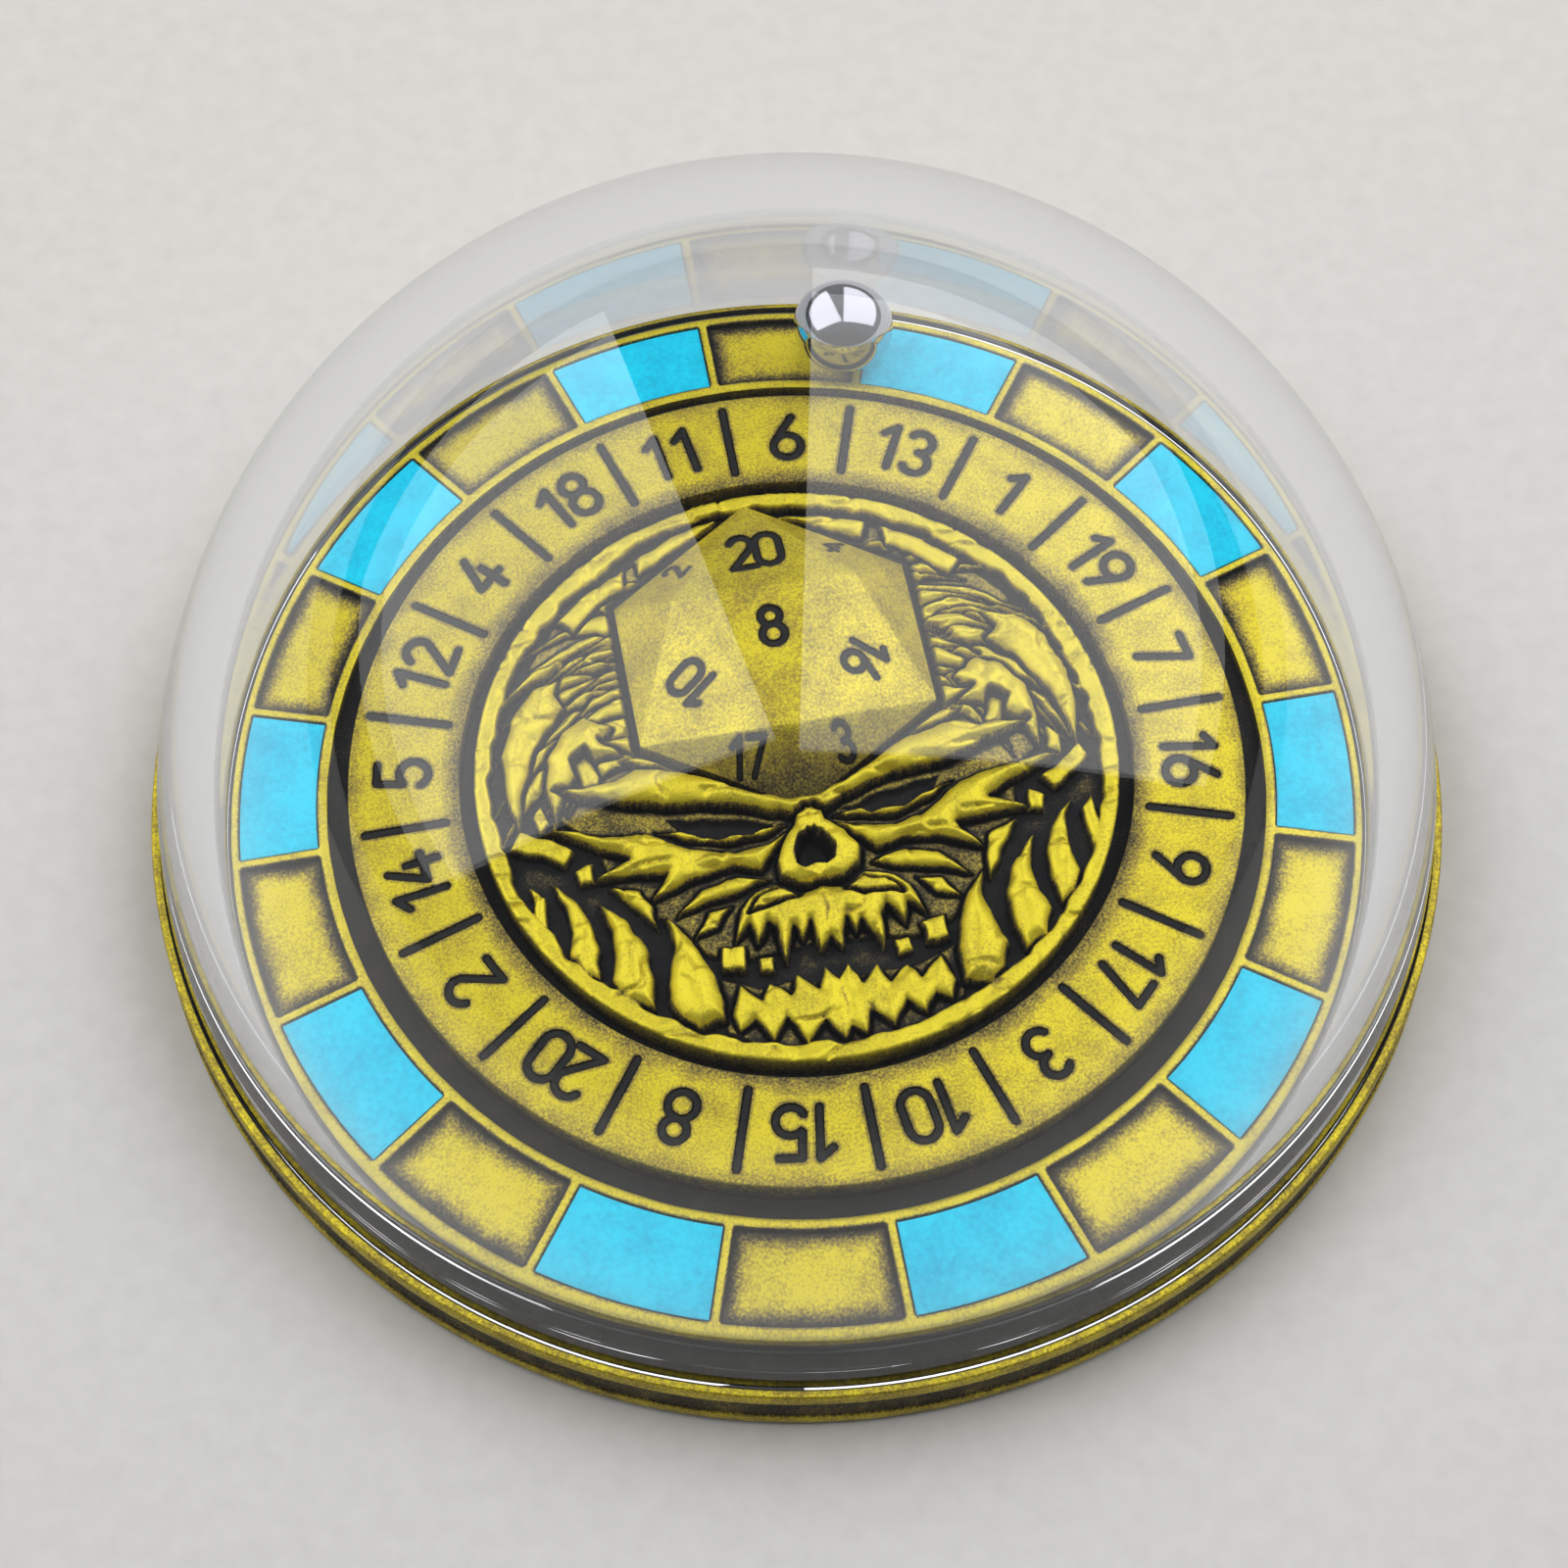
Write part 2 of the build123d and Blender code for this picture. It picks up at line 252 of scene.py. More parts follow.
def antiqueBrass():
    # antique brass plating on a zinc casting: satin gold on what was wiped, near-black where the dip stayed;
    # the attribute also carries painted shade, darkened the same way
    look = brassLook
    material, tree = newMaterial("antiqueBrassCasting")
    place = add(tree, "ShaderNodeTexCoord").outputs["Object"]
    patinaAndShade = add(tree, "ShaderNodeAttribute", attribute_name="patinaAndShade").outputs["Fac"]
    grain = add(tree, "ShaderNodeTexNoise", {
        "Vector": place, "Scale": 1 / (look["grainMm"] * mm), "Detail": 4.0, "Roughness": 0.6})
    mottle = add(tree, "ShaderNodeTexNoise", {
        "Vector": place, "Scale": 1 / (look["mottleMm"] * mm), "Detail": 5.0, "Roughness": 0.62})
    speck = add(tree, "ShaderNodeMapRange", {
        "Value": grain.outputs["Fac"], "From Min": 0.3, "From Max": 0.7, "To Min": -0.2, "To Max": 0.2})
    cloud = add(tree, "ShaderNodeMapRange", {
        "Value": mottle.outputs["Fac"], "From Min": 0.3, "From Max": 0.7, "To Min": -0.12, "To Max": 0.12})
    uneven = add(tree, "ShaderNodeMath", {0: speck.outputs[0], 1: cloud.outputs[0]}, operation="ADD")
    # the breakup counts most where the patina is half gone
    spread = add(tree, "ShaderNodeMath", {0: patinaAndShade, 1: 0.5}, operation="SUBTRACT")
    spread = add(tree, "ShaderNodeMath", {0: spread.outputs[0]}, operation="ABSOLUTE")
    spread = add(tree, "ShaderNodeMapRange", {
        "Value": spread.outputs[0], "From Min": 0.0, "From Max": 0.5, "To Min": 1.6, "To Max": 0.85})
    uneven = add(tree, "ShaderNodeMath", {0: uneven.outputs[0], 1: spread.outputs[0]}, operation="MULTIPLY")
    wornAndShaded = add(tree, "ShaderNodeMath", {0: patinaAndShade, 1: uneven.outputs[0]}, operation="ADD", use_clamp=True)
    skin = add(tree, "ShaderNodeValToRGB", {"Fac": wornAndShaded.outputs[0]}, [
        (0.0, colour(look["bright"])), (0.3, colour(look["deep"])),
        (0.62, colour(look["tarnish"])), (0.9, colour(look["black"]))])
    rough = add(tree, "ShaderNodeMapRange", {
        "Value": wornAndShaded.outputs[0], "To Min": look["rough"], "To Max": 0.62})
    metal = add(tree, "ShaderNodeMapRange", {
        "Value": wornAndShaded.outputs[0], "From Min": 0.25, "From Max": 0.9, "To Min": 0.86, "To Max": 0.25})
    relief = add(tree, "ShaderNodeBump", {
        "Height": grain.outputs["Fac"], "Strength": 0.5, "Distance": 0.02 * mm})
    shader = add(tree, "ShaderNodeBsdfPrincipled", {
        "Base Color": skin.outputs[0], "Metallic": metal.outputs[0], "Roughness": rough.outputs[0],
        "Specular IOR Level": 0.3, "Normal": relief.outputs[0]})
    add(tree, "ShaderNodeOutputMaterial", {"Surface": shader.outputs[0]})
    return material


enamelLook = {"blue": "#00ABCA", "light": "#00C8E1", "pebbleMm": 0.34, "driftMm": 3.0, "rough": 0.55}


def softEnamel():
    # soft enamel poured into the pockets: flat bright blue, a slightly pebbled and dusty satin skin
    look = enamelLook
    material, tree = newMaterial("blueSoftEnamel")
    place = add(tree, "ShaderNodeTexCoord").outputs["Object"]
    pebble = add(tree, "ShaderNodeTexNoise", {
        "Vector": place, "Scale": 1 / (look["pebbleMm"] * mm), "Detail": 4.0, "Roughness": 0.65})
    drift = add(tree, "ShaderNodeTexNoise", {
        "Vector": place, "Scale": 1 / (look["driftMm"] * mm), "Detail": 4.0, "Roughness": 0.6})
    both = add(tree, "ShaderNodeMath", {0: pebble.outputs["Fac"], 1: drift.outputs["Fac"]}, operation="ADD")
    blend = add(tree, "ShaderNodeMapRange", {"Value": both.outputs[0], "From Min": 0.72, "From Max": 1.28})
    tone = add(tree, "ShaderNodeValToRGB", {"Fac": blend.outputs[0]}, [
        (0.0, colour(look["blue"])), (0.75, colour(look["light"]))])
    relief = add(tree, "ShaderNodeBump", {
        "Height": pebble.outputs["Fac"], "Strength": 0.8, "Distance": 0.06 * mm})
    shader = add(tree, "ShaderNodeBsdfPrincipled", {
        "Base Color": tone.outputs[0], "Roughness": look["rough"], "IOR": 1.52,
        "Specular IOR Level": 0.18, "Normal": relief.outputs[0]})
    add(tree, "ShaderNodeOutputMaterial", {"Surface": shader.outputs[0]})
    return material


def paintInfill():
    # black paint wiped into the engraving: matt, slightly dusty
    material, tree = newMaterial("blackPaintInfill")
    place = add(tree, "ShaderNodeTexCoord").outputs["Object"]
    dust = add(tree, "ShaderNodeTexNoise", {"Vector": place, "Scale": 1 / (0.3 * mm), "Detail": 4.0})
    tone = add(tree, "ShaderNodeValToRGB", {"Fac": dust.outputs["Fac"]}, [
        (0.3, colour("#060504")), (0.75, colour("#15130D"))])
    shader = add(tree, "ShaderNodeBsdfPrincipled", {
        "Base Color": tone.outputs[0], "Roughness": 0.6, "IOR": 1.5, "Specular IOR Level": 0.25})
    add(tree, "ShaderNodeOutputMaterial", {"Surface": shader.outputs[0]})
    return material


def castAcrylic():
    # cast and polished acrylic: water-clear, faintly cold where it is thick, and light passes to the wheel
    material, tree = newMaterial("clearCastAcrylic")
    glass = add(tree, "ShaderNodeBsdfPrincipled", {
        "Base Color": colour("#FBFCFF"), "Roughness": 0.0, "IOR": 1.49, "Transmission Weight": 1.0})
    thin = add(tree, "ShaderNodeBsdfTransparent", {"Color": colour("#F6F8FC")})
    path = add(tree, "ShaderNodeLightPath")
    mix = add(tree, "ShaderNodeMixShader", {
        0: path.outputs["Is Shadow Ray"], 1: glass.outputs[0], 2: thin.outputs[0]})
    add(tree, "ShaderNodeOutputMaterial", {"Surface": mix.outputs[0]})
    return material


def polishedSteel():
    # a through-hardened bearing ball: mirror bright, faintly hazed where it has rolled on the casting
    material, tree = newMaterial("polishedBearingSteel")
    place = add(tree, "ShaderNodeTexCoord").outputs["Object"]
    marks = add(tree, "ShaderNodeTexNoise", {
        "Vector": place, "Scale": 1 / (0.5 * mm), "Detail": 6.0, "Roughness": 0.7, "Distortion": 1.5})
    rough = add(tree, "ShaderNodeMapRange", {
        "Value": marks.outputs["Fac"], "From Min": 0.35, "From Max": 0.7, "To Min": 0.05, "To Max": 0.16})
    shader = add(tree, "ShaderNodeBsdfPrincipled", {
        "Base Color": colour("#C6C6CC"), "Metallic": 1.0, "Roughness": rough.outputs[0]})
    add(tree, "ShaderNodeOutputMaterial", {"Surface": shader.outputs[0]})
    return material


def curedAdhesive():
    # a black line of cured glue under the dome's foot
    material, tree = newMaterial("curedBlackAdhesive")
    place = add(tree, "ShaderNodeTexCoord").outputs["Object"]
    flow = add(tree, "ShaderNodeTexNoise", {"Vector": place, "Scale": 1 / (1.2 * mm), "Detail": 2.0})
    tone = add(tree, "ShaderNodeValToRGB", {"Fac": flow.outputs["Fac"]}, [
        (0.3, colour("#0C0B0A")), (0.8, colour("#1B1917"))])
    shader = add(tree, "ShaderNodeBsdfPrincipled", {
        "Base Color": tone.outputs[0], "Roughness": 0.35, "IOR": 1.5})
    add(tree, "ShaderNodeOutputMaterial", {"Surface": shader.outputs[0]})
    return material


feltLook = {"dark": "#08080A", "pale": "#2E2E33", "fibreMm": 0.55, "cloudMm": 5.0}


def pressedFelt():
    # pressed wool felt: deep black, matt and matted; its 0.03 mm fibres are drawn as 0.55 mm tufts
    look = feltLook
    material, tree = newMaterial("blackPressedFelt")
    place = add(tree, "ShaderNodeTexCoord").outputs["Object"]
    fibre = add(tree, "ShaderNodeTexNoise", {
        "Vector": place, "Scale": 1 / (look["fibreMm"] * mm), "Detail": 8.0, "Roughness": 0.8,
        "Distortion": 3.0})
    cloud = add(tree, "ShaderNodeTexNoise", {
        "Vector": place, "Scale": 1 / (look["cloudMm"] * mm), "Detail": 2.0})
    both = add(tree, "ShaderNodeMath", {0: fibre.outputs["Fac"], 1: cloud.outputs["Fac"]},
               operation="MULTIPLY")
    tone = add(tree, "ShaderNodeValToRGB", {"Fac": both.outputs[0]}, [
        (0.16, colour(look["dark"])), (0.36, colour(look["pale"]))])
    relief = add(tree, "ShaderNodeBump", {
        "Height": fibre.outputs["Fac"], "Strength": 1.0, "Distance": 0.3 * mm})
    shader = add(tree, "ShaderNodeBsdfPrincipled", {
        "Base Color": tone.outputs[0], "Roughness": 0.95, "Specular IOR Level": 0.2, "Sheen Weight": 0.25,
        "Sheen Roughness": 0.5, "Normal": relief.outputs[0]})
    add(tree, "ShaderNodeOutputMaterial", {"Surface": shader.outputs[0]})
    return material


castBrass = antiqueBrass()
blueEnamel = softEnamel()
blackPaint = paintInfill()
clearAcrylic = castAcrylic()
bearingSteel = polishedSteel()
blackGlue = curedAdhesive()
blackFelt = pressedFelt()
print("materials ready")


# the flange of the casting, under the dome's foot
flange = {
    "recessRadius": padRadius + 0.1, "underside": 0.3, "edgeRadius": 0.55, "lipInner": 38.1,
    "lipTop": 4.55, "beadDepth": 0.16, "beadLow": 1.35, "beadHigh": 3.55, "beadSlope": 0.2,
    "beadRound": 0.08, "patinaSeat": 0.95, "patinaBead": 0.72, "patinaSide": 0.22, "steps": 360,
}
bossRadius = 34.25


def makeFlange():
    f = flange
    sunk = baseRadius - f["beadDepth"]
    outline = rounded([
        (0, padTop, 0), (f["recessRadius"], padTop, 0.05), (f["recessRadius"], f["underside"], 0.15),
        (baseRadius, f["underside"], f["edgeRadius"]),
        (baseRadius, f["beadLow"], f["beadRound"]), (sunk, f["beadLow"] + f["beadSlope"], f["beadRound"]),
        (sunk, f["beadHigh"] - f["beadSlope"], f["beadRound"]), (baseRadius, f["beadHigh"], f["beadRound"]),
        (baseRadius, f["lipTop"], 0.2), (f["lipInner"], f["lipTop"], 0.12), (f["lipInner"], seatLevel, 0.08),
        (bossRadius - 0.1, seatLevel, 0.0), (bossRadius - 0.1, floorLevel, 0), (0, floorLevel, 0)], 0.05)
    made = lathe("baseFlange", outline, f["steps"], castBrass)

    def rule(x, y, z):
        r = np.hypot(x, y)
        bead = (r < baseRadius - 0.08) & (z > f["beadLow"]) & (z < f["beadHigh"])
        inside = r < f["lipInner"] + 0.02
        side = np.where(bead, f["patinaBead"], f["patinaSide"])
        # painted shade: the underside and the lowest 0.8 mm of the side are made darker
        return np.where(inside & (z > 2), f["patinaSeat"], side) + 0.25 * (z < 0.8)
    paintPatina(made, rule)
    return made


baseFlange = makeFlange()
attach(baseFlange, "housing")
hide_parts("base_casting")
print("base flange made")


# the pocket ring of the casting: one pocket, repeated twenty times
pocket = {
    "count": 20, "inner": 28.0, "outer": bossRadius, "rim": 0.62, "rib": 0.58, "depth": 0.42,
    "crown": 0.07, "slope": 0.16, "brimWide": 0.25, "brimFall": 0.09, "vignetteMm": 1.2,
    "unevenMm": 0.035, "unevenScaleMm": 2.2, "footGap": 0.1, "innerSkirt": 0.3, "outerSkirt": 1.2, "seed": 4,
}


def softMin(a, b, k):
    h = np.clip(0.5 + 0.5 * (b - a) / k, 0, 1)
    return b * (1 - h) + a * h - k * h * (1 - h)


def pocketDepthAt(x, y):
    # how far a point lies inside the open pocket whose middle is on +Y; negative on rims and ribs
    r = np.hypot(x, y)
    half = math.pi / pocket["count"]
    a = np.abs(np.arctan2(x, y))
    side = r * np.sin(half - a) - pocket["rib"] / 2
    radial = softMin(r - pocket["inner"] - pocket["rim"], pocket["outer"] - pocket["rim"] - r, 0.05)
    return softMin(side, radial, 0.22)


def pocketGrid(sideLines, radialLines):
    # grid lines that hug the pocket's edges: distances from the rib's middle and from the rims
    half = math.pi / pocket["count"]
    rows = []
    for r in radialLines:
        reach = r * math.sin(half)
        offsets = sideLines + list(np.linspace(sideLines[-1], reach, 7)[1:])
        angles = [half - math.asin(min(s / r, math.sin(half))) for s in offsets]
        row = [(-r * math.sin(a), r * math.cos(a)) for a in angles]
        row += [(r * math.sin(a), r * math.cos(a)) for a in angles[-2::-1]]
        rows.append(row)
    return rows


def cellLevel(x, y):
    # the crowned rib or rim, the slope of its flank, and the pocket's flat floor
    p = pocket
    d = float(pocketDepthAt(np.array(x), np.array(y)))
    t = min(max(d / p["slope"] + 0.5, 0), 1)
    fall = p["depth"] * t * t * (3 - 2 * t)
    r = math.hypot(x, y)
    brim = min(r - p["inner"], p["outer"] - r, p["brimWide"]) / p["brimWide"]
    crown = (min(-d / (p["rib"] / 2), 1) - 1 if d < 0 else t - 1) * p["crown"] / 2
    return pocketTop - fall + crown - p["brimFall"] * (1 - brim) ** 2


def makePocketRing():
    p = pocket
    edge = [0.0, 0.1, 0.2, 0.26, 0.31, 0.36, 0.42, 0.5, 0.62, 0.85, 1.2, 1.7]
    into = [0.0, 0.08, 0.2, 0.4, 0.54, 0.6, 0.65, 0.71, 0.78, 0.86, 1.0, 1.25, 1.6, 2.1, 2.7]
    width = p["outer"] - p["inner"]
    radial = [p["inner"] + s for s in into] + [p["outer"] - s for s in into[::-1]]
    rows = pocketGrid(edge, sorted(set(round(r, 4) for r in radial)))
    points, faces = [], []
    low = seatLevel + p["footGap"]
    columns = len(rows[0])

    def put(row, level=None):
        for x, y in row:
            points.append((x, y, cellLevel(x, y) if level is None else level))
    put(rows[0], low)
    put(rows[0], floorLevel - p["innerSkirt"])
    for row in rows:
        put(row)
    put(rows[-1], pocketTop - p["outerSkirt"])
    put(rows[-1], low)
    total = len(rows) + 4
    for i in range(total):
        n = (i + 1) % total
        for j in range(columns - 1):
            faces.append((i * columns + j, i * columns + j + 1, n * columns + j + 1, n * columns + j))
    cell = meshObject("pocketCell", points, faces)

    def build(tree, sockets):
        ring = add(tree, "GeometryNodeRealizeInstances", {"Geometry": aroundTheAxis(tree, sockets)})
        ring = add(tree, "GeometryNodeMergeByDistance", {"Geometry": ring.outputs[0], "Distance": 0.002 * mm})
        where = add(tree, "GeometryNodeInputPosition")
        wander = add(tree, "ShaderNodeTexNoise", {
            "Vector": where.outputs[0], "W": sockets["Seed"], "Scale": 1 / (p["unevenScaleMm"] * mm),
            "Detail": 2.0}, noise_dimensions="4D")
        centred = add(tree, "ShaderNodeVectorMath", {0: wander.outputs["Color"], 1: (0.5, 0.5, 0.5)},
                      operation="SUBTRACT")
        flat = add(tree, "ShaderNodeVectorMath", {0: centred.outputs[0], 1: (1.0, 1.0, 0.25)},
                   operation="MULTIPLY")
        moved = add(tree, "ShaderNodeVectorMath", {0: flat.outputs[0], "Scale": sockets["Uneven"]},
                    operation="SCALE")
        return add(tree, "GeometryNodeSetPosition", {
            "Geometry": ring.outputs[0], "Offset": moved.outputs[0]}).outputs[0]
    # the noise strays about a quarter from its middle, so its reach is taken four times
    made = grow("pocketRing", build, {
        "Count": p["count"], "Pitch": 360 / p["count"], "First": 180 / p["count"],
        "Uneven": p["unevenMm"] * 4 * mm, "Seed": float(p["seed"])}, castBrass, cell)
    bpy.data.objects.remove(cell)
    tidyMesh(made, smooth=50)

    def rule(x, y, z):
        # rib tops bright, their flanks black, pocket floors fading from black edges to brass
        half = math.pi / p["count"]
        turn = np.mod(np.arctan2(x, y), 2 * half) - half
        r = np.hypot(x, y)
        d = pocketDepthAt(r * np.sin(turn), r * np.cos(turn))
        flank = np.clip(1 - np.abs(d + 0.02) / 0.1, 0, 1)
        floor = 0.05 + np.clip(1 - (d - 0.05) / p["vignetteMm"], 0, 1) ** 1.5 * 0.95
        top = np.clip(0.06 + 0.4 * np.clip(1 + d / 0.06, 0, 1), 0, 1)
        value = np.where(d > 0, np.maximum(floor, flank), np.maximum(top, flank * 0.9))
        wall = (z < pocketTop - 0.5) & (d < 0)
        return np.where(wall, 0.95, value)
    paintPatina(made, rule)
    return made


pocketRing = makePocketRing()
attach(pocketRing, "housing")
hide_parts("base_casting")
print("pocket ring made", len(pocketRing.data.polygons))


# enamel fills every second pocket
enamel = {"gap": 0.05, "below": 0.1, "meniscus": 0.05, "first": 27.0}


def makeEnamels():
    p, e = pocket, enamel
    start = p["rib"] / 2 + e["gap"]
    edge = [start, start + 0.05, start + 0.14, start + 0.3, start + 0.6, start + 1.1, start + 1.7]
    inset = p["rim"] + e["gap"]
    into = [inset + s for s in (0.0, 0.05, 0.14, 0.3, 0.6, 1.0, 1.5, 2.0)]
    radial = [p["inner"] + s for s in into] + [p["outer"] - s for s in into[::-1]]
    rows = pocketGrid(edge, radial)
    columns = len(rows[0])
    top = pocketTop - e["below"]
    floor = pocketTop - p["depth"] - 0.02
    spots = [spot for row in rows for spot in row]
    points, faces = [], []
    for x, y in spots:
        d = float(pocketDepthAt(np.array(x), np.array(y))) - e["gap"]
        points.append((x, y, top - e["meniscus"] * math.exp(-max(d, 0) / 0.12)))
    under = len(points)
    points += [(x, y, floor) for x, y in spots]
    last = len(rows) - 1
    for i in range(last):
        for j in range(columns - 1):
            k = i * columns + j
            faces.append((k, k + columns, k + columns + 1, k + 1))
            faces.append((under + k, under + k + 1, under + k + columns + 1, under + k + columns))
    loop = list(range(columns)) + [i * columns + columns - 1 for i in range(1, last + 1)]
    loop += [last * columns + j for j in range(columns - 2, -1, -1)]
    loop += [i * columns for i in range(last - 1, 0, -1)]
    for one, two in zip(loop, loop[1:] + loop[:1]):
        faces.append((one, two, under + two, under + one))
    cell = meshObject("enamelCell", points, faces)
    made = grow("blueEnamels", aroundTheAxis, {
        "Count": p["count"] // 2, "Pitch": 720 / p["count"], "First": e["first"]}, blueEnamel, cell)
    bpy.data.objects.remove(cell)
    return tidyMesh(made, smooth=40)


blueEnamels = makeEnamels()
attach(blueEnamels, "housing")
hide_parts(*["enamel_%02d" % (k + 1) for k in range(10)])
print("enamels made", len(blueEnamels.data.polygons))


# each digit is drawn one unit high, as lines (two points) and arcs (centre, radius, start, sweep)
six = [((-0.2425, -0.08), (0.09, 0.5)), ((0.0, -0.22), 0.28, 0, 360)]
numerals = {
    "0": [((0, 0.22), 0.28, 0, 180), ((0, -0.22), 0.28, 180, 180),
          ((-0.28, 0.22), (-0.28, -0.22)), ((0.28, 0.22), (0.28, -0.22))],
    "1": [((-0.16, 0.3), (0.08, 0.5)), ((0.08, 0.5), (0.08, -0.5))],
    "2": [((0, 0.24), 0.26, -35, 195), ((0.213, 0.091), (-0.27, -0.5)), ((-0.27, -0.5), (0.28, -0.5))],
    "3": [((0, 0.26), 0.24, -90, 235), ((0, -0.24), 0.26, -150, 240)],
    "4": [((0.04, 0.5), (-0.28, -0.2)), ((-0.28, -0.2), (0.3, -0.2)), ((0.12, 0.12), (0.12, -0.5))],
    "5": [((-0.2, 0.5), (0.22, 0.5)), ((-0.2, 0.5), (-0.22, 0.0)), ((0, -0.22), 0.28, -150, 285)],
    "6": six,
    "7": [((-0.26, 0.5), (0.27, 0.5)), ((0.27, 0.5), (-0.06, -0.5))],
    "8": [((0, 0.27), 0.23, 0, 360), ((0, -0.23), 0.27, 0, 360)],
}
pitchOfDigits = 0.62


def digitLines(digit):
    # the digit's strokes as point lists; a closed circle repeats its first point
    if digit == "9":
        return [-line for line in digitLines("6")]
    lines = []
    for piece in numerals[digit]:
        if len(piece) == 2:
            lines.append(np.array(piece, float))
            continue
        (x, y), radius, start, sweep = piece
        a = np.radians(np.linspace(start, start + sweep, max(5, int(abs(sweep) / 9)) + 1))
        lines.append(np.column_stack([x + radius * np.cos(a), y + radius * np.sin(a)]))
    return lines


def numberLines(value, height, x, y, turn):
    # the strokes of a whole number, centred at (x, y) and turned anticlockwise
    digits = str(value)
    c, s = math.cos(math.radians(turn)), math.sin(math.radians(turn))
    lines = []
    for k, digit in enumerate(digits):
        shift = (k - (len(digits) - 1) / 2) * pitchOfDigits * height
        for line in digitLines(digit):
            px, py = line[:, 0] * height + shift, line[:, 1] * height
            lines.append(np.column_stack([x + c * px - s * py, y + s * px + c * py]))
    return lines


def strokeEdges(line, half):
    # the closed outlines of a round-ended stroke of this half width
    if np.allclose(line[0], line[-1]):
        middle = line[:-1].mean(0)
        ray = line[:-1] - middle
        radius = np.linalg.norm(ray, axis=1)[:, None]
        return [middle + ray * (1 + half / radius), middle + ray * (1 - half / radius)]
    along = np.gradient(line, axis=0)
    along /= np.linalg.norm(along, axis=1)[:, None]
    across = np.column_stack([-along[:, 1], along[:, 0]])
    turns = np.linspace(0, math.pi, 7)[1:-1]
    end = [line[-1] + half * (across[-1] * math.cos(t) + along[-1] * math.sin(t)) for t in turns]
    start = [line[0] + half * (-across[0] * math.cos(t) - along[0] * math.sin(t)) for t in turns]
    return [np.vstack([line + across * half, end, (line - across * half)[::-1], start])]


def distanceTo(lines, points):
    # distance from each point to the nearest stroke middle
    best = np.full(len(points), 1e3)
    for line in lines:
        low, high = line.min(0) - 1.2, line.max(0) + 1.2
        near = np.where(((points > low) & (points < high)).all(1))[0]
        if not len(near):
            continue
        p = points[near]
        d = best[near]
        for a, b in zip(line[:-1], line[1:]):
            v = b - a
            t = np.clip(((p - a) @ v) / (v @ v), 0, 1)
            d = np.minimum(d, np.linalg.norm(p - a - t[:, None] * v, axis=1))
        best[near] = d
    return best


def triangulate(loops):
    # Delaunay triangles that keep every loop's edges
    points, edges = [], []
    for loop in loops:
        first = len(points)
        points += [Vector((float(x), float(y))) for x, y in loop]
        edges += [(first + k, first + (k + 1) % len(loop)) for k in range(len(loop))]
    verts, _, faces, _, _, _ = delaunay_2d_cdt(points, edges, [], 0, 1e-5, False)
    return np.array([tuple(v) for v in verts]), [tuple(f) for f in faces]


def circleLoop(radius, count):
    a = np.arange(count) * 2 * math.pi / count
    return np.column_stack([radius * np.cos(a), radius * np.sin(a)])


def inlay(name, lines, half, top, bottom, rounding=0.05, surface=None):
    # paint that fills a set of strokes: a soft-edged top and straight sides; levels count from the surface
    loops = [edge for line in lines for h in (half, half - rounding) for edge in strokeEdges(line, h)]
    points, faces = triangulate(loops)
    middles = points[np.array(faces)].mean(1)
    keep = distanceTo(lines, middles) < half
    faces = [f for f, k in zip(faces, keep) if k]
    d = distanceTo(lines, points)
    z = np.where(d > half - rounding / 2, top - rounding * 0.6, top)
    made = meshObject(name, [(x, y, h) for (x, y), h in zip(points, z)], faces)
    work = bmesh.new()
    work.from_mesh(made.data)
    bpy.data.objects.remove(made)
    dropLoose(work)
    shell = bmesh.ops.extrude_face_region(work, geom=work.faces[:], use_keep_orig=True)
    for item in shell["geom"]:
        if isinstance(item, bmesh.types.BMVert):
            item.co.z = bottom * mm
    if surface:
        for v in work.verts:
            v.co.z += float(surface(v.co.x / mm, v.co.y / mm)) * mm
    made = meshObject(name, [], [])
    work.to_mesh(made.data)
    work.free()
    return tidyMesh(made, smooth=50)


# the numbers clockwise from the top
numbers = [6, 13, 1, 19, 7, 16, 9, 17, 3, 10, 15, 8, 20, 2, 14, 5, 12, 4, 18, 11]
numberRing = {
    "inner": 20.0, "edge": 0.3, "depth": 0.34, "slope": 0.07, "halo": 0.28, "steps": 360,
    "digitHeight": 3.05, "digitRadius": 23.35, "digitHalf": 0.2, "paintBelow": 0.07,
    "barHalf": 0.21, "barFrom": 20.75, "barTo": 25.95,
}
step = 360 / len(numbers)


def ringLines():
    n = numberRing
    lines = []
    for k, value in enumerate(numbers):
        a = math.radians((k + 0.5) * step)
        lines += numberLines(value, n["digitHeight"], n["digitRadius"] * math.sin(a),
                             n["digitRadius"] * math.cos(a), -(k + 0.5) * step)
    return lines


def barLines():
    n = numberRing
    lines = []
    for k in range(len(numbers)):
        a = math.radians(k * step)
        ray = np.array([math.sin(a), math.cos(a)])
        lines.append(np.array([ray * (n["barFrom"] + n["barHalf"]), ray * (n["barTo"] - n["barHalf"])]))
    return lines


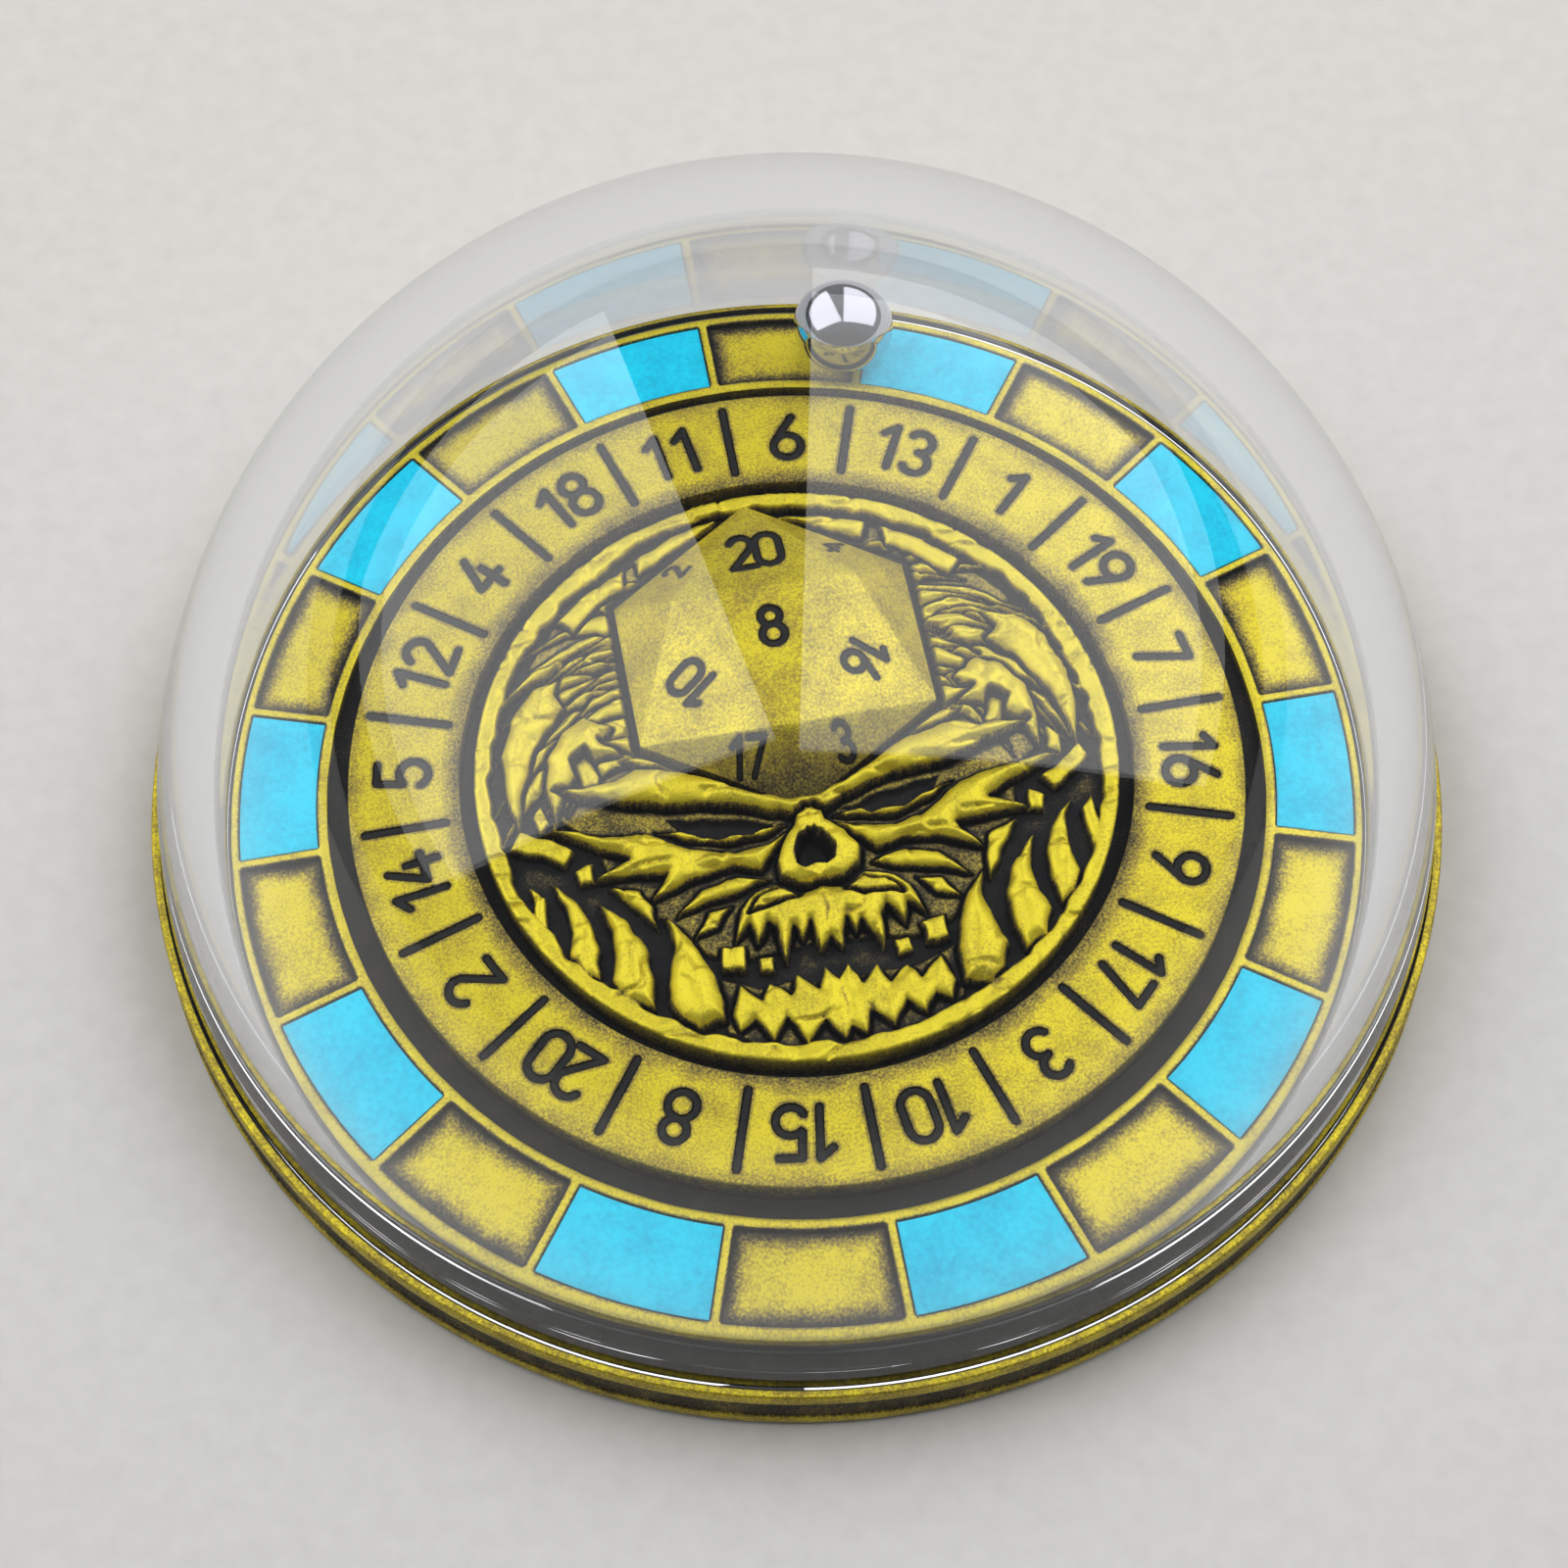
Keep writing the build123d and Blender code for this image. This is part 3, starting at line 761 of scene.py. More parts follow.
def makeNumberRing():
    n = numberRing
    lines = ringLines()
    bars = barLines()
    inner, outer = n["inner"] + n["edge"], ringRadius - n["edge"]
    loops = [circleLoop(outer, n["steps"]), circleLoop(inner, n["steps"])]
    loops += [circleLoop(r, 180) for r in (inner + 0.35, inner + 0.9, outer - 0.3, outer - 0.8)]
    for group, half in ((lines, n["digitHalf"]), (bars, n["barHalf"])):
        for line in group:
            for h in (half, half + n["slope"], half + n["halo"]):
                loops += strokeEdges(line, h)
    points, faces = triangulate(loops)
    middles = points[np.array(faces)].mean(1)
    r = np.hypot(*middles.T)
    faces = [f for f, k in zip(faces, (r > inner) & (r < outer)) if k]

    def beyond(p):
        return np.minimum(distanceTo(lines, p) - n["digitHalf"], distanceTo(bars, p) - n["barHalf"])
    d = beyond(points)
    t = np.clip(d / n["slope"], 0, 1)
    z = ringTop - n["depth"] * (1 - t)
    r = np.hypot(*points.T)
    z = np.where((r > outer - 1e-3) | (r < inner + 1e-3), ringTop, z)
    made = meshObject("numberRing", [(x, y, h) for (x, y), h in zip(points, z)], faces, castBrass)
    shell = lathe("ringShell", rounded([
        (inner, ringTop, 0), (n["inner"], ringTop, n["edge"]), (n["inner"], floorLevel, 0),
        (ringRadius, floorLevel, 0), (ringRadius, ringTop, n["edge"]), (outer, ringTop, 0)], 0.05, 6),
        n["steps"])
    work = bmesh.new()
    work.from_mesh(shell.data)
    lid = [f for f in work.faces if all(abs(v.co.z / mm - ringTop) < 1e-4 for v in f.verts)
           and inner < math.hypot(*f.calc_center_median().xy) / mm < outer]
    bmesh.ops.delete(work, geom=lid, context="FACES")
    work.from_mesh(made.data)
    dropLoose(work)
    work.to_mesh(made.data)
    work.free()
    bpy.data.objects.remove(shell)
    tidyMesh(made, merge=0.004, smooth=40)

    def rule(x, y, z):
        p = np.column_stack([x, y])
        r = np.hypot(x, y)
        d = beyond(p)
        grime = np.clip(1 - d / n["halo"], 0, 1) * 0.5
        groove = np.where(d < n["slope"] * 0.6, 0.95, 0)
        inside = np.clip(1 - (r - n["inner"] - 0.15) / 1.1, 0, 1) * 0.42
        outside = np.clip(1 - (ringRadius - 0.1 - r) / 0.8, 0, 1) * 0.22
        value = np.maximum(np.maximum(grime, groove), np.maximum(inside, outside)) + 0.1
        return np.where(z < ringTop - 0.36, 0.97, value)
    paintPatina(made, rule)
    return made


numberRingPiece = makeNumberRing()
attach(numberRingPiece, "housing")
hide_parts("number_ring")
print("number ring made", len(numberRingPiece.data.polygons))


def makeNumberPaint():
    # ten painted digits, set in their places by a tree that picks one for each point
    n = numberRing
    top, low = ringTop - n["paintBelow"], ringTop - n["depth"] + 0.01
    box = bpy.data.collections.new("paintedDigits")
    shapes = []
    for digit in range(10):
        lines = [line * n["digitHeight"] for line in digitLines(str(digit))]
        shapes.append(inlay("digit%d" % digit, lines, n["digitHalf"] - 0.005, top, low))
        box.objects.link(shapes[-1])
    places, digits, turns = [], [], []
    for k, value in enumerate(numbers):
        a = math.radians((k + 0.5) * step)
        text = str(value)
        for j, digit in enumerate(text):
            shift = (j - (len(text) - 1) / 2) * pitchOfDigits * n["digitHeight"]
            places.append((n["digitRadius"] * math.sin(a) + shift * math.cos(a),
                           n["digitRadius"] * math.cos(a) - shift * math.sin(a), 0))
            digits.append(int(digit))
            turns.append(-a)
    marks = meshObject("digitMarks", places, [])
    for label, kind, values in (("digit", "INT", digits), ("turn", "FLOAT", turns)):
        marks.data.attributes.new(label, kind, "POINT").data.foreach_set("value", values)

    def build(tree, sockets):
        info = add(tree, "GeometryNodeCollectionInfo", {
            "Collection": sockets["Digits"], "Separate Children": True, "Reset Children": True})
        which = add(tree, "GeometryNodeInputNamedAttribute", {"Name": "digit"}, data_type="INT")
        turn = add(tree, "GeometryNodeInputNamedAttribute", {"Name": "turn"}, data_type="FLOAT")
        spin = add(tree, "ShaderNodeCombineXYZ", {"Z": turn.outputs[0]})
        return add(tree, "GeometryNodeInstanceOnPoints", {
            "Points": sockets["Geometry"], "Instance": info.outputs[0], "Pick Instance": True,
            "Instance Index": which.outputs[0], "Rotation": spin.outputs[0]}).outputs[0]
    made = grow("numberPaint", build, {"Digits": box}, blackPaint, marks)
    for shape in shapes:
        bpy.data.objects.remove(shape)
    bpy.data.objects.remove(marks)
    bpy.data.collections.remove(box)
    return tidyMesh(made, smooth=50)


def makeBarPaint():
    n = numberRing
    line = barLines()[0]
    bar = inlay("bar", [line], n["barHalf"] - 0.005, ringTop - n["paintBelow"], ringTop - n["depth"] + 0.01)
    made = grow("dividerPaint", aroundTheAxis, {
        "Count": len(numbers), "Pitch": step, "First": 0.0}, blackPaint, bar)
    bpy.data.objects.remove(bar)
    return tidyMesh(made, smooth=50)


numberPaint = makeNumberPaint()
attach(numberPaint, "housing")
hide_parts(*["number_infill_%02d" % (k + 1) for k in range(len(numbers))])
dividerPaint = makeBarPaint()
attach(dividerPaint, "housing")
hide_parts("divider_infill")
print("paint in the engraving made")


# the medallion: a horned mask in relief, drawn as half outlines and worked as one height field
medallion = {
    "field": 1.15,          # over the floor of the base
    "rimWidth": 1.15, "rimHeight": 1.0, "pitch": 0.082, "triangles": 180000,
    "wobbleMm": 0.1, "wobbleScaleMm": 0.75, "driftMm": 0.22, "driftScaleMm": 3.0,
    "crackDepth": 0.2, "crackWidthMm": 0.06, "moatDepth": 0.85, "moatMm": 0.3,
    "browLap": -1.7,        # below this Y the brow may cover the crest's lowest corner
    "seed": 5,
}
crest = {
    "centreY": 7.7, "radius": 10.3, "innerRatio": 0.618, "nearDrop": 2.1, "farDrop": 3.3,
    "strokeRatio": 0.16, "depth": 0.3, "slope": 0.06, "halo": 0.2, "soften": 0.05, "gridMm": 0.45,
    "paintBelow": 0.07, "rooted": 0.4,
}
# low masses that lie under the plates, darker than they are: corners right of the middle line, and a level
maskMasses = [
    # temples and cheeks down to the upper teeth
    ([(0, -2.6), (3.0, 0.6), (6.5, 1.9), (9.8, 2.6), (12.2, 1.3), (15.0, -0.7), (12.6, -2.6),
      (12.2, -5.2), (10.9, -7.6), (9.4, -9.2), (7.4, -11.2), (5.2, -12.1), (2.9, -11.9), (0, -11.2)],
      0.42),
    # the jaw
    ([(0, -13.8), (2.4, -13.5), (4.6, -13.7), (6.9, -12.7), (7.5, -14.4), (7.1, -16.2), (5.4, -17.3),
      (2.8, -18.0), (0, -18.2)], 0.36),
    # scalp behind the crest's shoulders
    ([(8.6, 3.0), (11.4, 3.6), (14.2, 6.8), (14.9, 9.6), (12.6, 12.6), (9.6, 14.8), (6.0, 16.6),
      (2.0, 17.4), (0.9, 16.4)], 0.3),
]
# each plate: its corners right of the middle line, its rise, its step up from the field, its edge width
maskPlates = [
    # horns drooping from the temples, outer and inner
    ([(12.9, 8.3), (14.7, 7.9), (16.3, 6.3), (17.3, 3.8), (17.4, 1.0), (16.8, -1.7), (16.2, 1.0),
      (15.3, 3.3), (14.2, 4.9), (12.8, 6.2), (13.4, 7.2)], 0.85, 0.75, 0.8),
    ([(10.4, 4.3), (11.9, 5.3), (13.5, 4.5), (14.6, 2.9), (14.9, 0.6), (14.5, -1.4), (13.8, 0.4),
      (12.8, 1.7), (11.6, 2.2), (10.2, 2.6), (11.2, 3.4)], 0.9, 0.85, 0.75),
    ([(12.3, 2.9), (13.2, 2.3), (12.8, 0.9), (11.9, -0.2), (11.7, 1.4)], 0.4, 0.5, 0.35),
    # folds of the forehead, the small plate on the temple, then the brow over them
    ([(0.6, 0.6), (3.4, 1.9), (6.2, 3.5), (8.9, 4.0), (11.4, 3.5), (8.8, 2.2), (6.6, 1.3), (4.2, 0.0),
      (1.4, -1.6)], 0.5, 0.75, 0.5),
    ([(2.6, -0.4), (5.6, 1.1), (8.2, 2.2), (10.4, 2.2), (8.6, 0.9), (5.4, -0.3), (2.8, -1.6)],
      0.45, 0.9, 0.4),
    ([(0, -3.5), (0.8, -3.35), (2.3, -2.75), (4.3, -2.0), (6.3, -1.6), (8.3, -1.5), (10.2, -0.9),
      (14.3, 0.6), (10.9, 0.8), (9.6, 1.3), (7.6, 0.8), (5.4, 0.0), (2.8, -1.2), (1.2, -2.1), (0, -2.3)],
      0.75, 1.05, 0.7),
    # lower lid and the ridges that run from the nose into the cheek
    ([(1.3, -3.6), (2.8, -4.15), (5.0, -4.35), (7.4, -3.6), (9.0, -2.6), (7.2, -3.1), (5.2, -3.55),
      (3.0, -3.6)], 0.4, 0.7, 0.35),
    # cheekbone with its three spurs
    ([(1.15, -3.95), (2.6, -4.75), (4.8, -4.95), (7.2, -4.3), (9.2, -2.9), (11.4, -2.4), (15.7, -1.7),
      (12.4, -3.4), (10.8, -4.3), (13.3, -5.4), (10.0, -5.6), (8.6, -5.6), (10.0, -7.4), (7.2, -6.3),
      (5.0, -6.0), (3.4, -6.5), (2.6, -5.6), (1.9, -4.9)], 0.8, 0.75, 0.7),
    ([(2.9, -7.1), (4.9, -6.55), (7.0, -7.0), (8.9, -8.7), (6.6, -8.0), (4.8, -7.7)], 0.5, 0.6, 0.4),
    ([(5.4, -8.3), (6.9, -8.6), (8.0, -10.1), (6.4, -9.6)], 0.4, 0.5, 0.35),
    # bridge and wings of the nose
    ([(0, -2.9), (0.75, -3.2), (0.95, -3.9), (1.9, -4.9), (2.45, -6.2), (2.3, -7.3), (1.3, -8.0),
      (0, -8.2)], 0.7, 1.1, 0.65),
    # upper jaw, cut into teeth
    ([(0, -8.1), (1.3, -8.5), (2.5, -7.65), (3.9, -7.9), (5.0, -8.9), (5.6, -10.9), (4.6, -10.0),
      (4.2, -11.4), (3.4, -10.1), (3.05, -10.5), (2.75, -12.8), (1.85, -10.7), (1.5, -11.4),
      (1.05, -10.4), (0.6, -12.1), (0, -10.9)], 0.75, 0.75, 0.5),
    ([(1.3, -8.75), (2.4, -8.1), (3.7, -8.4), (4.5, -9.3), (3.2, -9.2), (2.2, -9.0)], 0.3, 1.2, 0.3),
    ([(5.0, -11.3), (6.5, -11.0), (6.6, -12.6), (5.2, -12.8)], 0.3, 0.85, 0.4),
    ([(3.3, -12.1), (4.3, -12.0), (4.5, -13.0), (3.5, -13.1)], 0.25, 0.6, 0.3),
    # lower jaw: two rows of points
    ([(0, -14.3), (0.7, -12.9), (1.3, -14.4), (2.3, -13.3), (3.0, -14.6), (4.0, -13.6), (4.7, -14.7),
      (5.9, -13.5), (6.7, -15.4), (6.2, -16.5), (5.3, -15.9), (4.4, -17.1), (3.5, -16.1), (2.5, -17.6),
      (1.4, -16.4), (0.6, -17.8), (0, -16.9)], 0.5, 0.6, 0.45),
    # fangs, curving up and outwards
    ([(7.0, -15.6), (6.9, -13.6), (7.2, -11.9), (8.0, -10.2), (9.6, -8.5), (9.2, -10.4), (9.5, -12.2),
      (10.0, -13.7), (9.6, -15.0), (8.6, -15.9)], 0.95, 0.85, 0.8),
    ([(10.7, -14.2), (10.3, -12.2), (10.5, -10.2), (11.4, -8.3), (12.9, -6.9), (12.4, -8.9),
      (12.5, -10.7), (12.9, -12.0), (12.2, -13.6)], 0.8, 0.7, 0.65),
    ([(13.6, -11.8), (13.2, -9.8), (13.4, -8.0), (14.2, -6.3), (15.5, -5.0), (14.9, -6.9), (14.9, -8.6),
      (15.2, -10.0), (14.6, -11.2)], 0.6, 0.5, 0.55),
    # cheek shields, small scales and blunt bars
    ([(10.3, -6.4), (12.2, -5.9), (11.0, -7.4), (9.9, -9.2), (9.8, -7.7)], 0.5, 0.55, 0.4),
    ([(13.9, -3.3), (16.8, -1.4), (17.4, -2.4), (14.6, -4.3)], 0.3, 0.65, 0.3),
    ([(15.9, -6.0), (16.8, -4.9), (16.8, -7.4), (16.1, -8.8)], 0.3, 0.6, 0.3),
    ([(12.9, -3.9), (14.0, -4.5), (13.8, -5.6), (12.9, -5.4)], 0.3, 0.5, 0.3),
    ([(15.2, 0.2), (15.9, -0.6), (15.6, -1.9), (14.9, -1.2)], 0.25, 0.5, 0.25),
    # slabs along the rim, over the crest's shoulders
    ([(1.6, 17.7), (4.8, 17.1), (7.3, 16.0), (7.0, 14.9), (4.5, 16.1), (1.9, 17.0)], 0.4, 0.55, 0.5),
    ([(8.0, 15.6), (10.4, 14.2), (12.6, 12.3), (11.7, 11.3), (9.9, 12.9), (8.1, 14.1)], 0.45, 0.6, 0.6),
]
maskHollows = [
    # eye and nose
    [(1.9, -3.3), (4.2, -2.5), (6.6, -2.1), (8.3, -2.0), (7.6, -3.1), (5.6, -4.0), (3.4, -4.0)],
    [(0, -4.3), (0.75, -4.7), (1.25, -5.8), (1.2, -6.8), (0.65, -7.1), (0, -6.6)],
]
mane = {"layers": [(10, 9.4, 18.3, 1.3), (9, 9.2, 16.4, 1.0), (7, 9.0, 13.8, 0.85)], "from": 14.0, "to": 80.0,
        "rise": 0.5, "bend": -26.0}


def noise(x, y, scale, seed):
    # smooth noise from -1 to 1 with a bump about every scale mm
    u, v = x / scale, y / scale
    i, j = np.floor(u).astype(np.int64), np.floor(v).astype(np.int64)
    fu, fv = u - i, v - j
    fu, fv = fu * fu * (3 - 2 * fu), fv * fv * (3 - 2 * fv)

    def lattice(a, b):
        n = (a * 374761393 + b * 668265263 + seed * 974711) & 0x7fffffff
        n = ((n ^ (n >> 13)) * 1274126177) & 0x7fffffff
        return (n ^ (n >> 16)) % 65536 / 32767.5 - 1
    low = lattice(i, j) * (1 - fu) + lattice(i + 1, j) * fu
    high = lattice(i, j + 1) * (1 - fu) + lattice(i + 1, j + 1) * fu
    return low * (1 - fv) + high * fv


def insideBy(outline, x, y):
    # how deep each point lies inside a closed outline, negative outside
    away = np.full(x.shape, 99.0)
    within = np.zeros(x.shape, bool)
    for (ax, ay), (bx, by) in zip(outline, np.roll(outline, -1, 0)):
        dx, dy = bx - ax, by - ay
        t = np.clip(((x - ax) * dx + (y - ay) * dy) / (dx * dx + dy * dy + 1e-12), 0, 1)
        away = np.minimum(away, np.hypot(x - ax - dx * t, y - ay - dy * t))
        within ^= ((ay > y) != (by > y)) & (x < dx * (y - ay) / (dy + 1e-12) + ax)
    return np.where(within, away, -away)


def raisePlate(height, x, y, outlines, rise, step, edge):
    # a chiselled plate: a dark moat, a steep step, then faces that climb to a soft ridge
    low, high = np.min([o.min(0) for o in outlines], 0) - 0.4, np.max([o.max(0) for o in outlines], 0) + 0.4
    near = (x > low[0]) & (x < high[0]) & (y > low[1]) & (y < high[1])
    rows, columns = np.where(near.any(1))[0], np.where(near.any(0))[0]
    box = np.ix_(rows, columns)
    depth = np.max([insideBy(outline, x[box], y[box]) for outline in outlines], 0)
    climb = np.clip(depth / edge, 0, 1.6)
    lift = np.clip(depth / 0.16, 0, 1)
    top = step * np.sqrt(1 - (1 - lift) ** 2) + rise * (1 - np.exp(-1.6 * climb))
    moat = 1 - medallion["moatDepth"] * np.clip(1 + depth / medallion["moatMm"], 0, 1) ** 2
    height[box] = np.where(depth > 0, np.maximum(height[box] * 0.4, top), height[box] * moat)


def crestHexagon():
    a = np.radians(90 + 60 * np.arange(6))
    return np.column_stack([crest["radius"] * np.cos(a), crest["centreY"] + crest["radius"] * np.sin(a)])


def overTheMiddle(corners):
    # a half outline that runs a little past the middle line, so both halves join
    return np.array([(x if x else -0.3, y) for x, y in corners], float)


def sinkHollow(height, x, y, outline):
    depth = insideBy(outline, x, y)
    bowl = np.clip(depth / 0.5, 0, 1)
    height[:] = np.where(depth > 0, height * (1 - bowl) ** 2 - 0.1 * bowl, height)


def maneLocks(rng):
    # broad locks that sweep out from behind the crest, each with a nick in one side
    locks = []
    for count, start, end, width in mane["layers"]:
        for k in range(count):
            turn = mane["from"] + (mane["to"] - mane["from"]) * (k + 0.5) / count + rng.uniform(-1.5, 1.5)
            bend = mane["bend"] + rng.uniform(-6, 6)
            reach = end + rng.uniform(-0.9, 0.5)
            left, right = [], []
            for t in np.linspace(0, 1, 6):
                a = math.radians(turn + bend * t * t)
                r = start + (reach - start) * t
                half = width * (0.75 + 0.5 * math.sin(3.0 * t)) * (1 - t ** 3) + 0.03
                left.append((r * math.cos(a) - half * math.sin(a), r * math.sin(a) + half * math.cos(a)))
                right.append((r * math.cos(a) + half * math.sin(a), r * math.sin(a) - half * math.cos(a)))
            nick = rng.integers(2, 4)
            left[nick] = tuple(np.array(left[nick]) * 0.97)
            locks.append((np.array(left + right[::-1]), mane["rise"] + rng.uniform(-0.1, 0.2),
                          0.35 + 0.5 * rng.random()))
    return locks


def blur(values, sigma):
    reach = int(3 * sigma)
    weights = np.exp(-0.5 * (np.arange(-reach, reach + 1) / sigma) ** 2)
    weights /= weights.sum()
    for axis in (0, 1):
        values = np.apply_along_axis(lambda line: np.convolve(line, weights, "same"), axis, values)
    return values


def maskHeights():
    # the whole relief over its field, in mm, with the patina that its shape gives it and painted shade on the
    # low parts of its lower half
    m = medallion
    count = int(2 * coinRadius / m["pitch"]) + 5
    line = (np.arange(count) - (count - 1) / 2) * m["pitch"]
    gx, gy = np.meshgrid(line, line)
    # the outlines are read through a wandering grid, so that no edge is ruler-straight
    wx = gx + m["wobbleMm"] * noise(gx, gy, m["wobbleScaleMm"], 1)
    wy = gy + m["wobbleMm"] * noise(gx, gy, m["wobbleScaleMm"], 3)
    wx = wx + m["driftMm"] * noise(gx, gy, m["driftScaleMm"], 2)
    wy = wy + m["driftMm"] * noise(gx, gy, m["driftScaleMm"], 4)
    height = 0.05 * noise(gx, gy, 1.7, 6) + 0.03 * noise(gx, gy, 0.5, 7)
    for corners, level in maskMasses:
        for side in (1, -1):
            inside = insideBy(overTheMiddle(corners) * (side, 1), wx, wy)
            height = np.maximum(height, level * np.clip(inside / 0.25, 0, 1) + 0.35 * height)
    ground = height.copy()
    rng = np.random.default_rng(m["seed"])
    for side in (1, -1):
        for outline, rise, stepUp in maneLocks(rng):
            raisePlate(height, wx, wy, [outline * (side, 1)], rise, stepUp, 0.9)
    for corners, rise, stepUp, edge in maskPlates:
        half = overTheMiddle(corners)
        joined = min(x for x, y in corners) == 0
        for outlines in ([half, half * (-1, 1)],) if joined else ([half], [half * (-1, 1)]):
            raisePlate(height, wx, wy, outlines, rise, stepUp, edge)
    for side in (1, -1):
        for corners in maskHollows:
            sinkHollow(height, wx, wy, overTheMiddle(corners) * (side, 1))
    # a clear gap round the crest, except where the brow overlaps its lowest corner
    gap = np.clip(-insideBy(crestHexagon(), gx, gy) - 0.35, 0, 0.3) / 0.3
    lap = m["browLap"]
    height *= np.where(gy > lap, gap, np.maximum(gap, np.clip(lap - gy, 0, 0.2) * 5))
    # hewn rim, uneven on its inner side
    r = np.hypot(gx, gy)
    ax, ay = gx / np.maximum(r, 0.1) * coinRadius, gy / np.maximum(r, 0.1) * coinRadius
    inner = coinRadius - m["rimWidth"] + 0.22 * noise(ax, ay, 2.2, 8) + 0.16 * noise(ax, ay, 0.8, 9)
    rise = np.clip((r - inner) / 0.3, 0, 1)
    fall = np.clip((coinRadius - r) / 0.28, 0, 1)
    rim = m["rimHeight"] * np.sqrt(1 - (1 - rise) ** 2) * (0.78 + 0.22 * np.sqrt(1 - (1 - fall) ** 2))
    rim *= 0.95 + 0.05 * noise(gx, gy, 1.3, 12)
    height = np.where(r > inner, np.maximum(height, rim), height)
    # cracks where two slow patterns cross zero, only on raised metal
    raised = np.clip(height - 0.35, 0, 0.3) / 0.3
    for k, scale in enumerate((1.5, 2.4)):
        seam = np.abs(noise(wx, wy * 1.4, scale, 15 + k)) / m["crackWidthMm"] * (scale / 8)
        gate = np.clip(noise(gx, gy, 2.0, 25 + k) * 3 + 0.2, 0, 1)
        height -= m["crackDepth"] * np.clip(1 - seam, 0, 1) * gate * raised
    height += 0.012 * noise(gx, gy, 0.25, 21)
    # dip left in corners and on the field, wiped off what stands up; painted shade on the lower half
    slopes = np.hypot(np.gradient(height, m["pitch"], axis=1), np.gradient(height, m["pitch"], axis=0))
    sunk = blur(height, 0.36 / m["pitch"]) - height
    low = np.clip((0.3 - height) / 0.2, 0, 1)
    bare = np.clip(1 - (height - ground) / 0.25, 0, 1) * np.clip(ground / 0.25, 0, 1)
    patinaAndShade = np.clip(sunk * 2.6, 0, 1) + 0.6 * low + np.clip((slopes - 2.0) / 3, 0, 0.55) + 0.4 * bare
    # painted shade: the low parts grow darker towards the bottom of the coin
    patinaAndShade += np.clip(-gy / 15, 0, 0.4) * np.clip(0.75 - height, 0, 0.5)
    for corners in maskHollows:
        for side in (1, -1):
            patinaAndShade += np.clip(insideBy(overTheMiddle(corners) * (side, 1), wx, wy) * 3, 0, 0.8)
    return line, height, np.clip(patinaAndShade, 0.02, 1)


def makeMedallion():
    m = medallion
    line, height, patinaAndShade = maskHeights()
    gx, gy = np.meshgrid(line, line)
    r = np.hypot(gx, gy)
    base = floorLevel + m["field"]
    keep = r < coinRadius + m["pitch"] * 0.35
    index = np.full(r.shape, -1)
    index[keep] = np.arange(keep.sum())
    # the outermost ring of grid points is drawn onto the true edge
    snap = np.where(r > coinRadius - m["pitch"] * 0.65, coinRadius / np.maximum(r, 1), 1.0)
    points = np.column_stack([(gx * snap)[keep], (gy * snap)[keep], height[keep] + base])
    quads = np.stack([index[:-1, :-1], index[:-1, 1:], index[1:, 1:], index[1:, :-1]], -1).reshape(-1, 4)
    whole = quads[(quads >= 0).all(1)]
    part = quads[(quads >= 0).sum(1) == 3]
    faces = [tuple(q) for q in whole.tolist()] + [tuple(v for v in q if v >= 0) for q in part.tolist()]
    made = meshObject("medallionRelief", points.tolist(), faces, castBrass)
    work = bmesh.new()
    work.from_mesh(made.data)
    closeBelow(work, floorLevel * mm)
    bmesh.ops.recalc_face_normals(work, faces=work.faces)
    work.to_mesh(made.data)
    work.free()
    thin = made.modifiers.new("thin", "DECIMATE")
    thin.ratio = m["triangles"] / (2 * len(made.data.polygons))
    graph = bpy.context.evaluated_depsgraph_get()
    slim = bpy.data.meshes.new_from_object(made.evaluated_get(graph))
    made.modifiers.remove(thin)
    made.data = slim
    slim.name = "medallionRelief"
    finishMesh(made, 60)

    def rule(x, y, z):
        u = np.clip((x - line[0]) / m["pitch"], 0, len(line) - 1.001)
        v = np.clip((y - line[0]) / m["pitch"], 0, len(line) - 1.001)
        i, j = v.astype(int), u.astype(int)
        fv, fu = v - i, u - j
        top = patinaAndShade[i, j] * (1 - fu) + patinaAndShade[i, j + 1] * fu
        low = patinaAndShade[i + 1, j] * (1 - fu) + patinaAndShade[i + 1, j + 1] * fu
        value = top * (1 - fv) + low * fv
        return np.where(z < base + 0.3, np.where(np.hypot(x, y) > coinRadius - 0.05, 0.9, value), value)
    paintPatina(made, rule)
    return made


medallionRelief = makeMedallion()
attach(medallionRelief, "housing")
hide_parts("medallion")
print("medallion relief made", len(medallionRelief.data.polygons))


# the crest is a flattened twenty-sided die over the mask, with plain figures
crestFigures = [    # value, place from the crest's middle, turn, height
    (20, 0.0, 6.3, 0, 2.6), (8, 0.0, 0.4, 0, 2.5), (10, -5.2, -2.3, 125, 2.2), (16, 5.2, -2.3, -125, 2.2),
    (2, -4.9, 6.3, 45, 1.5), (4, 4.9, 6.3, -45, 1.5), (17, -2.9, -7.2, -10, 1.8), (3, 2.9, -7.2, 10, 1.8),
]


def crestPlanes():
    # the three inner corners, the six outer ones, and the plane through each of the ten faces
    c = crest

    def corner(degrees, radius, drop):
        a = math.radians(degrees)
        return np.array([radius * math.cos(a), c["centreY"] + radius * math.sin(a), crestTop - drop])
    inner = [corner(a, c["radius"] * c["innerRatio"], 0) for a in (150, 30, 270)]
    outer = [corner(90 + 60 * k, c["radius"], c["farDrop"] if k % 2 else c["nearDrop"]) for k in range(6)]
    left, right, low = inner
    triangles = [(left, right, low), (outer[0], right, left), (outer[0], left, outer[1]),
                 (outer[1], left, outer[2]), (outer[2], left, low), (outer[2], low, outer[3]),
                 (outer[3], low, outer[4]), (outer[4], low, right), (outer[4], right, outer[5]),
                 (outer[5], right, outer[0])]
    planes = []
    for p, q, s in triangles:
        n = np.cross(q - p, s - p)
        n = n / n[2]
        planes.append((n[0], n[1], n @ p))
    return outer, triangles, planes


